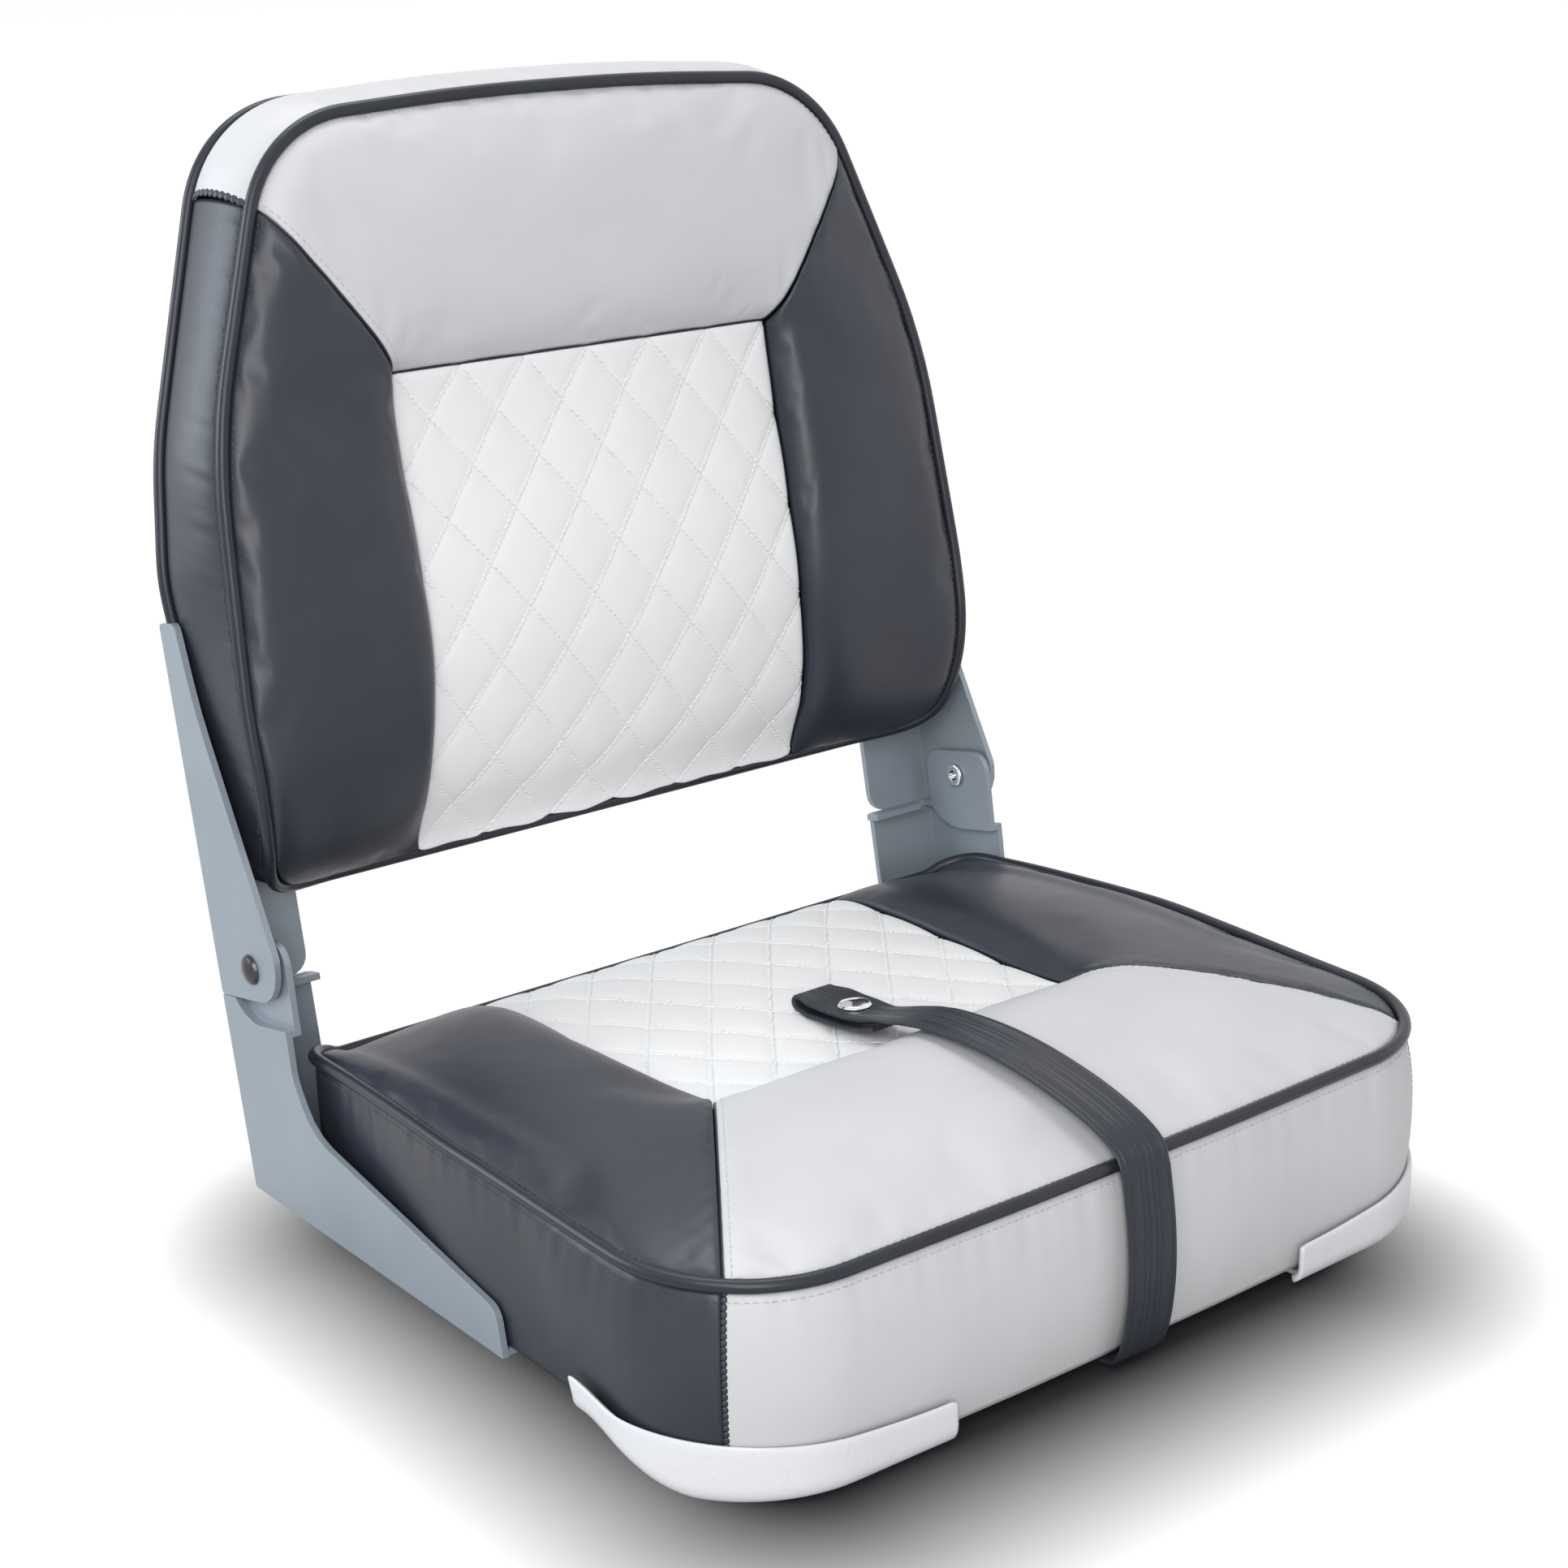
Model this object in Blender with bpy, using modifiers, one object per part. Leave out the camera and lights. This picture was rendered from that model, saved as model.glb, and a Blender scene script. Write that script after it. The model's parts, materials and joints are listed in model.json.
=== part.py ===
"""Folding boat seat: a padded seat and a padded back joined by two steel brackets, with a hold-down strap.

Metres, +Z up. The seat faces -Y, and the origin is the middle of the mounting face under the seat pan.
Left is -X and right is +X, as seen from the front.
"""

import bisect
import math

import bmesh
import bpy
from mathutils import Matrix, Vector

# Clearances and sheet stock
GAP = 0.0003
COVER = 0.0012
PIPE_RADIUS = 0.0028
SHEET = 0.0030
WELD = 0.000002
CUT_OVERRUN = 0.002
ARC_STEP = math.radians(18)
ROUND_STEPS = 24
SMALL_STEPS = 12
HOLE_STEPS = 8
BORE_STEPS = 24
BOXING_ROWS = 3
LONG_STEP = 0.050
SHORT_STEP = 0.032

# Seat cushion outline, at the line of its piping
SEAT_REAR_Y = 0.156
SEAT_REAR_TAPER = 0.0117
SEAT_REAR_CORNER = 0.024
SEAT_SIDE_Y = 0.020
SEAT_SIDE_HALF = 0.2022
SEAT_SIDE_BOW = 0.30
SEAT_FRONT_Y = -0.1575
SEAT_FRONT_FLARE = 0.0002
SEAT_FRONT_CORNER = 0.052
SEAT_FRONT_BOW = 0.004

# Seat cushion heights
RIM_Z = 0.0903
REAR_DIP = 0.010
DIP_START_Y = 0.030
DIP_FLAT = 0.015
DIP_RAMP = 0.045
EDGE_LIFT = 0.0010
SEAT_CROWN = 0.0125
SEAM_RISE = 0.0012
CENTER_CROWN = 0.0022
CENTER_HALF = 0.100
CENTER_FRONT_Y = -0.022
FRONT_FOOT_Z = 0.0078
FOOT_DROP_START = 0.0725
FOOT_DROP_END = 0.0295
BOXING_BULGE = 0.0045
BOXING_TUCK = 0.0015
BULGE_START = 0.1295
BULGE_FULL = 0.0875

# Sewing of both cushions
QUILT_DEPTH = 0.0012
QUILT_COLUMNS = 12
SEAT_QUILT_ROWS = 8
BACK_QUILT_ROWS = 10
QUILT_PERIOD = 2
PANEL_COLUMNS = 16
RING_ROWS = 6
CROWN_POWER = 2.2
VALLEY_SHARE = 0.24
VALLEY_WIDTH_SHARE = 0.16
RISE_SHARE = 0.16
FOAM_INSET = 0.0048
FOAM_DROP = 0.0026

# Hinge
HINGE_SETBACK = 0.0090
HINGE_RISE = 0.0337
LEAN = math.radians(10.8)

# Back cushion, in a frame at the hinge: across, behind the hinge, up the back
BACK_FRONT = -0.0215
BACK_TOP_U = 0.3585
BACK_SHOULDER_TAPER = 0.0549
BACK_SHOULDER_DROP = 0.0065
BACK_SHOULDER_CORNER = 0.055
BACK_BEND_TAPER = 0.0114
BACK_BEND_U = 0.222
BACK_BEND_BOW = 0.25
BACK_WAIST_U = 0.092
BACK_WAIST_BOW = 0.30
BACK_HEM_TAPER = 0.0134
BACK_HEM_CORNER = 0.045
BACK_HEM_U = 0.028
HEM_SETBACK = 0.0065
CURL_START_U = 0.095
HEM_CROWDING = 1.25
BACK_CROWN = 0.0140
BACK_SEAM_SINK = 0.0065
BACK_CENTER_HALF_TOP = 0.1020
BACK_CENTER_HALF_FOOT = 0.1070
BACK_CENTER_TOP_DROP = 0.1175
BACK_CENTER_CROWN = 0.0040
HEAD_SEAM_DROP = 0.0415
REAR_PIPING_SINK = 0.0018
REAR_TOP_RISE = 0.0080
REAR_SHOULDER_TAPER = 0.0494
REAR_SHOULDER_CORNER = 0.058
REAR_BEND_TAPER = 0.0064
REAR_BEND_U = 0.2150
REAR_WAIST_TAPER = 0.0006
REAR_WAIST_U = 0.1100
REAR_HEM_TAPER = 0.0016
REAR_HEM_U = 0.0290
REAR_HEM_CORNER = 0.035
TOP_BOXING_BULGE = 0.0060
BACK_SIDE_BULGE = 0.0030
BULGE_PRESSED_U = 0.150
BULGE_FREE_U = 0.190
BOARD_INSET = 0.0050
BOARD_THICKNESS = 0.0052
BOARD_GAP = 0.0006
COVER_CLEARANCE = 0.0010

# Brackets
WASHER_THICKNESS = 0.0008
WASHER_RADIUS = 0.0095
REAR_FLANGE_WIDTH = 0.0412
BRACKET_REAR_V = 0.0320
UPPER_TOP_U = 0.1500
UPPER_TOP_V = 0.0180
UPPER_TAPER_U = 0.1120
UPPER_TAPER_V = 0.0120
UPPER_NOSE_U = 0.0070
UPPER_NOSE_V = -0.0225
UPPER_FOOT_U = -0.0142
UPPER_FOOT_CORNER = 0.0180
EDGE_CORNER = 0.0040
FLANGE_CORNER = 0.0090
LIP_DEPTH = 0.0060
LIP_INSET = 0.0137
EAR_REAR_V = 0.0220
EAR_FRONT_V = -0.0240
EAR_TOP_U = 0.0125
EAR_CORNER = 0.0100
SWING_RADIUS = 0.0252
UPRIGHT_DEPTH = 0.0300
UPRIGHT_FOOT_DROP = 0.0420
WING_ROOT_DEPTH = 0.0430
WING_ROOT_HEIGHT = 0.0445
WING_ROOT_CORNER = 0.030
WING_DEPTH = 0.1830
WING_TIP_HEIGHT = 0.0200
WING_TIP_CORNER = 0.008
WING_TOE = 0.0040
FOOT_FLANGE_WIDTH = 0.0332

# Hinge rivet
RIVET_RADIUS = 0.0040
RIVET_PLAY = 0.00006
RIVET_HEAD_RADIUS = 0.0068
RIVET_HEAD_HEIGHT = 0.0030
RIVET_FLARE_RADIUS = 0.0058
RIVET_FLARE_HEIGHT = 0.0016
RIVET_BORE_RADIUS = 0.0026
RIVET_BORE_DEPTH = 0.0050

# Seat pan
PAN_INSET = 0.0055
PAN_RIM_Z = 0.0203
PAN_RIM = 0.0042
TRAY_SIDE_MARGIN = 0.0722
TRAY_FRONT_MARGIN = 0.0375
TRAY_REAR_MARGIN = 0.0210
TRAY_CORNER = 0.020
TRAY_WALL = 0.0030
TRAY_FLOOR = 0.0040
PLUG_CLEARANCE = 0.0008
PLUG_LIFT = 0.0024
LIP_WALL = 0.0040
CORNER_BOSS_RADIUS = 0.0060
CORNER_BOSS_Z = 0.0027
MOUNT_SPACING = 0.127
TEE_BARREL_RADIUS = 0.0040
TEE_BORE_RADIUS = 0.0032
TEE_FLANGE_RADIUS = 0.0095
TEE_FLANGE = 0.0014

# Corner guards
GUARD_WALL = 0.0022
GUARD_STANDOFF = 0.0040
GUARD_SIDE_REACH = 0.0853
GUARD_DROP_START = 0.0825
GUARD_FRONT_REACH = 0.1069
GUARD_TIP_TOP_Z = 0.0335
GUARD_CORNER_TOP_Z = 0.0290
GUARD_INNER_TOP_Z = 0.0220
GUARD_TIP_FOOT_Z = 0.0172
GUARD_FLANGE = 0.026
GUARD_EDGE_RADIUS = 0.005

# Screws
SCREW_RADIUS = 0.0022
SCREW_HOLE_RADIUS = 0.0025
SCREW_HEAD_RADIUS = 0.0046
SCREW_HEAD = 0.0022
FOOT_SCREW_DEPTHS = (0.160, 0.100, 0.040)
FOOT_SCREW_INSET = 0.0202
BACK_SCREWS_U = (0.050, 0.125)
BACK_SCREW_INSET = 0.0272
GUARD_SCREW_INSETS = ((0.0244, 0.0245), (0.0824, 0.0120))

# Hold-down strap, a line of places behind the seat's front and above the floor
STRAP_WIDTH = 0.0260
STRAP = 0.0022
STRAP_FOLD = 0.0026
STRAP_LOWER_LINE = (
    (-0.1215, 0.0043), (-0.1360, 0.0043), (-0.1545, 0.0043), (-0.1645, 0.0068), (-0.1704, 0.0170),
    (-0.1738, 0.0340), (-0.1744, 0.0500), (-0.1730, 0.0660), (-0.1700, 0.0800), (-0.1682, 0.0865),
)
STRAP_MIDDLE_LINE = (
    (-0.1682, 0.0865), (-0.1648, 0.0948), (-0.1570, 0.1003), (-0.1440, 0.1052), (-0.1250, 0.1098),
    (-0.1000, 0.1134), (-0.0750, 0.1144), (-0.0500, 0.1126), (-0.0350, 0.1098),
)
STRAP_TIP_LINE = (
    (-0.0350, 0.1098), (-0.0210, 0.1058), (-0.0080, 0.1018), (0.0000, 0.1004), (0.0080, 0.0998),
    (0.0160, 0.0992), (0.0260, 0.0990), (0.0360, 0.0984),
)
STRAP_RETURN_LINE = (
    (0.0260, 0.0936), (0.0160, 0.0948), (0.0080, 0.0954), (0.0000, 0.0960), (-0.0080, 0.0974),
    (-0.0160, 0.1000),
)
STRAP_POINT_STEP = 0.008
STRAP_SCREW_Y = -0.1290
SNAP_UPPER = 4
SNAP_BELOW = 2
SNAP_CAP_RADIUS = 0.0076
SNAP_CAP_HEIGHT = 0.0022
SNAP_POST_RADIUS = 0.0020
SNAP_SOCKET_RADIUS = 0.0060
SNAP_SOCKET_HEIGHT = 0.0011
STUD_U = 0.3050
STUD_RADIUS = 0.0060
STUD_BASE = 0.0012
STUD_HEAD_RADIUS = 0.0030
STUD_NECK_RADIUS = 0.0022
STUD_HEIGHT = 0.0045

# Finishes: colour, roughness, metallic
CHARCOAL_VINYL = (0.075, 0.083, 0.100), 0.42, 0.0
GREY_VINYL = (0.56, 0.56, 0.57), 0.45, 0.0
WHITE_VINYL = (0.82, 0.82, 0.82), 0.45, 0.0
DARK_PIPING = (0.045, 0.050, 0.062), 0.40, 0.0
COATED_STEEL = (0.36, 0.40, 0.43), 0.38, 0.3
WHITE_PLASTIC = (0.80, 0.80, 0.82), 0.25, 0.0
PAN_PLASTIC = (0.10, 0.10, 0.11), 0.55, 0.0
FOAM = (0.80, 0.74, 0.55), 0.95, 0.0
ZINC = (0.62, 0.62, 0.64), 0.30, 1.0
DARK_STEEL = (0.10, 0.10, 0.11), 0.30, 0.9
CHROME = (0.80, 0.80, 0.82), 0.10, 1.0
NYLON = (0.85, 0.84, 0.80), 0.50, 0.0

# Places that follow from those sizes
SEAT_REAR_HALF = SEAT_SIDE_HALF - SEAT_REAR_TAPER
SEAT_FRONT_HALF = SEAT_SIDE_HALF + SEAT_FRONT_FLARE
SEAM_FRONT_Z = RIM_Z + SEAM_RISE
SIDE_FOOT_Z = PAN_RIM_Z + GAP
DIP_FULL_X = CENTER_HALF - DIP_FLAT
DIP_END_X = DIP_FULL_X + DIP_RAMP
FOOT_DROP_START_Y = SEAT_FRONT_Y + FOOT_DROP_START
FOOT_DROP_END_Y = SEAT_FRONT_Y + FOOT_DROP_END
BULGE_START_Y = SEAT_FRONT_Y + BULGE_START
BULGE_FULL_Y = SEAT_FRONT_Y + BULGE_FULL
PIVOT_Y = SEAT_REAR_Y + HINGE_SETBACK
PIVOT_Z = RIM_Z + HINGE_RISE
BACK_WAIST_HALF = SEAT_SIDE_HALF - PIPE_RADIUS
BACK_SHOULDER_HALF = BACK_WAIST_HALF - BACK_SHOULDER_TAPER
BACK_SHOULDER_U = BACK_TOP_U - BACK_SHOULDER_DROP
BACK_BEND_HALF = BACK_WAIST_HALF - BACK_BEND_TAPER
BACK_HEM_HALF = BACK_WAIST_HALF - BACK_HEM_TAPER
BACK_CENTER_TOP_U = BACK_TOP_U - BACK_CENTER_TOP_DROP
HEAD_SEAM_U = BACK_TOP_U - HEAD_SEAM_DROP
REAR_TOP_U = BACK_TOP_U + REAR_TOP_RISE
REAR_SHOULDER_U = REAR_TOP_U - BACK_SHOULDER_DROP
REAR_SHOULDER_HALF = BACK_WAIST_HALF - REAR_SHOULDER_TAPER
REAR_BEND_HALF = BACK_WAIST_HALF - REAR_BEND_TAPER
REAR_WAIST_HALF = BACK_WAIST_HALF - REAR_WAIST_TAPER
REAR_HEM_HALF = BACK_WAIST_HALF - REAR_HEM_TAPER
REAR_COVER_V = BRACKET_REAR_V - SHEET - COVER - COVER_CLEARANCE
BOARD_REAR_V = REAR_COVER_V - BOARD_GAP
BOARD_FRONT_V = BOARD_REAR_V - BOARD_THICKNESS
REAR_PIPING_V = REAR_COVER_V - REAR_PIPING_SINK
BACK_HEM_V = REAR_PIPING_V - HEM_SETBACK
BRACKET_OUTER_X = SEAT_SIDE_HALF + SHEET
FLANGE_INNER_X = BRACKET_OUTER_X - REAR_FLANGE_WIDTH
LIP_OUTER_X = BRACKET_OUTER_X - LIP_INSET
FOOT_Z = PAN_RIM_Z - SHEET - GAP
FOOT_FLANGE_X = BRACKET_OUTER_X - FOOT_FLANGE_WIDTH
UPRIGHT_FRONT_Y = PIVOT_Y - UPRIGHT_DEPTH
UPRIGHT_FOOT_Z = PIVOT_Z - UPRIGHT_FOOT_DROP
WING_ROOT_Y = PIVOT_Y - WING_ROOT_DEPTH
WING_ROOT_Z = FOOT_Z + WING_ROOT_HEIGHT
WING_TIP_Y = PIVOT_Y - WING_DEPTH
WING_TIP_Z = FOOT_Z + WING_TIP_HEIGHT
WING_FRONT_Y = WING_TIP_Y - WING_TOE
FOOT_SCREWS_Y = [PIVOT_Y - depth for depth in FOOT_SCREW_DEPTHS]
FOOT_SCREW_X = BRACKET_OUTER_X - FOOT_SCREW_INSET
BACK_SCREW_X = BRACKET_OUTER_X - BACK_SCREW_INSET
TRAY_HALF = SEAT_SIDE_HALF - TRAY_SIDE_MARGIN
TRAY_FRONT_Y = SEAT_FRONT_Y + TRAY_FRONT_MARGIN
TRAY_REAR_Y = SEAT_REAR_Y - TRAY_REAR_MARGIN
GUARD_TIP_Y = SEAT_FRONT_Y + GUARD_SIDE_REACH
GUARD_DROP_START_Y = SEAT_FRONT_Y + GUARD_DROP_START
GUARD_INNER_X = SEAT_FRONT_HALF - GUARD_FRONT_REACH
GUARD_SCREWS = [(SEAT_FRONT_HALF - side, SEAT_FRONT_Y + front) for side, front in GUARD_SCREW_INSETS]
PLATE_INNER_X = BRACKET_OUTER_X - SHEET
EAR_OUTER_X = PLATE_INNER_X - WASHER_THICKNESS - 2 * GAP
EAR_INNER_X = EAR_OUTER_X - SHEET
PIPE_INSET = PIPE_RADIUS + GAP + COVER / 4
LOWER_TOP_U = UPPER_FOOT_U - GAP

for stale in list(bpy.data.objects):
    bpy.data.objects.remove(stale, do_unlink=True)
seat_collection = bpy.data.collections.new("folding_boat_seat")
tool_collection = bpy.data.collections.new("cutters")
for group in (seat_collection, tool_collection):
    bpy.context.scene.collection.children.link(group)


# Small helpers

def blend(a, b, share):
    return a + (b - a) * share


def ease(share):
    share = min(max(share, 0), 1)
    return share * share * (3 - 2 * share)


def pillow(share, power=CROWN_POWER):
    return 1 - abs(2 * share - 1) ** power


class Route:
    """A line through points, read by the share of its length."""

    def __init__(self, points):
        self.points = [Vector(point) for point in points]
        self.marks = [0.0]
        for start, end in zip(self.points, self.points[1:]):
            self.marks.append(self.marks[-1] + (end - start).length)

    def at(self, share):
        goal = min(max(share, 0), 1) * self.marks[-1]
        step = min(max(bisect.bisect_right(self.marks, goal) - 1, 0), len(self.points) - 2)
        span = self.marks[step + 1] - self.marks[step]
        return self.points[step].lerp(self.points[step + 1], (goal - self.marks[step]) / span)

    def where(self, test):
        """The share of the first point that passes a test."""
        steps = 4 * len(self.points) ** 2
        return next(step / steps for step in range(steps + 1) if test(self.at(step / steps)))

    def cut(self, start, end, count):
        return [self.at(blend(start, end, step / count)) for step in range(count + 1)]

    def shares(self, start, end, longest):
        """Shares of the line's own corners between two places, with long stretches divided."""
        low, high = min(start, end), max(start, end)
        length = self.marks[-1]
        inner = [mark / length for mark in self.marks if low * length + WELD < mark < high * length - WELD]
        stops = [low] + inner + [high]
        found = [low]
        for a, b in zip(stops, stops[1:]):
            parts = max(1, math.ceil((b - a) * length / longest))
            found += [blend(a, b, part / parts) for part in range(1, parts + 1)]
        return found if start < end else found[::-1]

    def corners(self, start, end, longest):
        return [self.at(share) for share in self.shares(start, end, longest)]

    def inset(self, distance):
        """The flat line moved to its left by a distance, the ends kept square."""
        moved = []
        for index, point in enumerate(self.points):
            before = self.points[max(index - 1, 0)]
            after = self.points[min(index + 1, len(self.points) - 1)]
            along = (after - before).normalized()
            moved.append(point + Vector((-along.y, along.x)) * distance)
        return Route(moved)


def rounded(corners, closed=True):
    """Outline points from corners, each an across, an up and a radius."""
    points = []
    for index, (across, up, radius) in enumerate(corners):
        corner = Vector((across, up))
        if radius == 0 or (not closed and index in (0, len(corners) - 1)):
            points.append(corner)
            continue
        back = (Vector(corners[index - 1][:2]) - corner).normalized()
        ahead = (Vector(corners[(index + 1) % len(corners)][:2]) - corner).normalized()
        half = back.angle(ahead) / 2
        center = corner + (back + ahead).normalized() * radius / math.sin(half)
        arm = corner + back * radius / math.tan(half) - center
        turn = math.pi - 2 * half
        if back.x * ahead.y - back.y * ahead.x > 0:
            turn = -turn
        steps = max(2, math.ceil(abs(turn) / ARC_STEP))
        for step in range(steps + 1):
            points.append(center + Matrix.Rotation(turn * step / steps, 2) @ arm)
    return points


def smooth_line(points, step):
    """A soft curve through the places of a strap, read at even steps."""
    ends = [Vector(points[0]) * 2 - Vector(points[1])]
    ends += [Vector(point) for point in points]
    ends.append(Vector(points[-1]) * 2 - Vector(points[-2]))
    fine = []
    for index in range(1, len(ends) - 2):
        a, b, c, d = ends[index - 1:index + 3]
        for part in range(SMALL_STEPS):
            t = part / SMALL_STEPS
            fine.append((b * 2 + (c - a) * t + (a * 2 - b * 5 + c * 4 - d) * t ** 2
                         + (b * 3 - a - c * 3 + d) * t ** 3) / 2)
    fine.append(Vector(points[-1]))
    route = Route(fine)
    return route.cut(0, 1, max(3, round(route.marks[-1] / step)))


def finish(name, look):
    """The material of one piece."""
    colour, roughness, metallic = look
    material = bpy.data.materials.new(name)
    material.use_nodes = True
    shader = material.node_tree.nodes["Principled BSDF"]
    shader.inputs["Base Color"].default_value = (*colour, 1)
    shader.inputs["Roughness"].default_value = roughness
    shader.inputs["Metallic"].default_value = metallic
    return material


def add(name, mesh, look, axis=None):
    """Put one piece in the model, carried by a joint's axis if it moves."""
    piece = bpy.data.objects.new(name, mesh)
    if not mesh.materials:
        mesh.materials.append(finish(name, look))
        mesh.shade_smooth()
        mesh.set_sharp_from_angle(angle=math.radians(35))
    seat_collection.objects.link(piece)
    piece.parent = axis
    return piece


def add_each(name, mesh, places, look, axis=None):
    """The same piece at several places, each an object of its own."""
    for number, place in enumerate(places, 1):
        add(f"{name}_{number}", mesh, look, axis).matrix_local = place


def cutter(name, mesh, axis=None):
    """A shape that cuts or joins another and isn't part of the seat."""
    piece = bpy.data.objects.new(name, mesh)
    tool_collection.objects.link(piece)
    piece.hide_render = True
    piece.display_type = "WIRE"
    piece.parent = axis
    return piece


def combine(piece, operation, *tools):
    """Cut a piece by its cutters, or join its other shapes to it, in one step."""
    group = bpy.data.collections.new(f"{piece.name}_{operation.lower()}")
    tool_collection.children.link(group)
    for tool in tools:
        group.objects.link(tool)
    modifier = piece.modifiers.new(operation.lower(), "BOOLEAN")
    modifier.operation = operation
    modifier.operand_type = "COLLECTION"
    modifier.collection = group


def cut(piece, *tools):
    combine(piece, "DIFFERENCE", *tools)


def fuse(piece, *tools):
    combine(piece, "UNION", *tools)


def axis_empty(name, place, turn=0):
    empty = bpy.data.objects.new(name, None)
    empty.location = place
    empty.rotation_euler = (turn, 0, 0)
    seat_collection.objects.link(empty)
    return empty


def settled(piece):
    """The mesh of an object with its modifiers, caps welded; the object is removed."""
    bpy.context.view_layer.update()
    graph = bpy.context.evaluated_depsgraph_get()
    mesh = bpy.data.meshes.new_from_object(piece.evaluated_get(graph))
    bpy.data.objects.remove(piece)
    shape = bmesh.new()
    shape.from_mesh(mesh)
    bmesh.ops.remove_doubles(shape, verts=shape.verts, dist=WELD)
    bmesh.ops.recalc_face_normals(shape, faces=shape.faces)
    shape.to_mesh(mesh)
    shape.free()
    return mesh


# A flat outline stands across one axis: its own two directions, then its thickness
SIDEWAYS = Matrix(((0, 0, 1, 0), (1, 0, 0, 0), (0, 1, 0, 0), (0, 0, 0, 1)))
LEVEL = Matrix.Identity(4)
UPRIGHT = Matrix(((1, 0, 0, 0), (0, 0, 1, 0), (0, 1, 0, 0), (0, 0, 0, 1)))


def plate(name, outline, low, high, stance):
    """The mesh of a flat outline between two levels."""
    curve = bpy.data.curves.new(name, "CURVE")
    curve.dimensions = "2D"
    curve.fill_mode = "BOTH"
    curve.extrude = (high - low) / 2
    spline = curve.splines.new("POLY")
    spline.points.add(len(outline) - 1)
    for place, point in zip(spline.points, outline):
        place.co = (point[0], point[1], 0, 1)
    spline.use_cyclic_u = True
    piece = bpy.data.objects.new(name, curve)
    tool_collection.objects.link(piece)
    mesh = settled(piece)
    mesh.transform(stance @ Matrix.Translation((0, 0, (low + high) / 2)))
    if stance.determinant() < 0:
        mesh.flip_normals()
    return mesh


def turned(name, profile, steps=ROUND_STEPS):
    """The mesh of a profile of radii and heights turned about Z."""
    mesh = bpy.data.meshes.new(name)
    mesh.from_pydata([(radius, 0, height) for radius, height in profile],
                     [(step, step + 1) for step in range(len(profile) - 1)], [])
    piece = bpy.data.objects.new(name, mesh)
    tool_collection.objects.link(piece)
    screw = piece.modifiers.new("turn", "SCREW")
    screw.steps = screw.render_steps = steps
    screw.use_merge_vertices = True
    screw.merge_threshold = WELD
    return settled(piece)


def copies(name, mesh, places):
    """One mesh of separate solids, a copy at each place."""
    shape = bmesh.new()
    for place in places:
        single = mesh.copy()
        single.transform(place)
        if place.determinant() < 0:
            single.flip_normals()
        shape.from_mesh(single)
        bpy.data.meshes.remove(single)
    whole = bpy.data.meshes.new(name)
    shape.to_mesh(whole)
    shape.free()
    return whole


def rod(radius, low, high, steps=HOLE_STEPS):
    return turned("rod", [(0, high), (radius, high), (radius, low), (0, low)], steps)


def moved(across, along, up):
    return Matrix.Translation((across, along, up))


def surface(name, rows, hub, slanted=None):
    """An open sheet through rows of points whose faces look away from a hub point."""
    shape = bmesh.new()
    grid = [[shape.verts.new(point) for point in row] for row in rows]
    for i in range(len(grid) - 1):
        for j in range(len(grid[0]) - 1):
            a, b, c, d = grid[i][j], grid[i + 1][j], grid[i + 1][j + 1], grid[i][j + 1]
            if slanted is None:
                shape.faces.new((a, b, c, d))
            elif slanted(i, j):
                shape.faces.new((a, b, c))
                shape.faces.new((a, c, d))
            else:
                shape.faces.new((a, b, d))
                shape.faces.new((b, c, d))
    shape.normal_update()
    facing = sum(face.normal.dot(face.calc_center_median() - hub) * face.calc_area() for face in shape.faces)
    if facing < 0:
        bmesh.ops.reverse_faces(shape, faces=shape.faces)
    mesh = bpy.data.meshes.new(name)
    shape.to_mesh(mesh)
    shape.free()
    return mesh


def thicken(piece, thickness, offset=-1):
    modifier = piece.modifiers.new("thickness", "SOLIDIFY")
    modifier.thickness = thickness
    modifier.offset = offset
    return piece


def coons(foot, head, start, end, columns, rows):
    """Flat points inside four joined edges: foot and head run along columns, start and end along rows."""
    a, b, c, d = foot.at(0), foot.at(1), head.at(0), head.at(1)
    grid = []
    for row in range(rows + 1):
        v = row / rows
        line = []
        for column in range(columns + 1):
            u = column / columns
            ruled = foot.at(u) * (1 - v) + head.at(u) * v + start.at(v) * (1 - u) + end.at(v) * u
            line.append(ruled - a * (1 - u) * (1 - v) - b * u * (1 - v) - c * (1 - u) * v - d * u * v)
        grid.append(line)
    return grid


def quilt_sink(column, row, columns, rows, quilted):
    """How far the sewn diamond lines pull a point of the centre panel down; the foam stays below them."""
    if column in (0, columns) or row in (0, rows):
        return 0
    on_line = (column + row) % QUILT_PERIOD == 0 or (column - row) % QUILT_PERIOD == 0
    return QUILT_DEPTH if on_line or not quilted else 0


def quilt_slant(row, column):
    return (column - row) % QUILT_PERIOD == 0


def valley(share):
    """The crown left beside a sewn seam that crosses it."""
    near = min(share, 1 - share) / VALLEY_WIDTH_SHARE
    return 1 - VALLEY_SHARE * (1 - ease(near))


def rise(share):
    """The crown along a bolster: nothing at its outer end, a shallow valley at its seam."""
    return ease(share / RISE_SHARE) * (1 - VALLEY_SHARE * (1 - ease((1 - share) / VALLEY_WIDTH_SHARE)))


def piping(name, points, look, axis=None):
    """A closed welt, a thin round tube."""
    curve = bpy.data.curves.new(name, "CURVE")
    curve.dimensions = "3D"
    curve.bevel_depth = PIPE_RADIUS
    curve.bevel_resolution = 1
    spline = curve.splines.new("POLY")
    spline.points.add(len(points) - 1)
    for place, point in zip(spline.points, points):
        place.co = (*point, 1)
    spline.use_cyclic_u = True
    piece = bpy.data.objects.new(name, curve)
    tool_collection.objects.link(piece)
    return add(name, settled(piece), look, axis)


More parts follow.
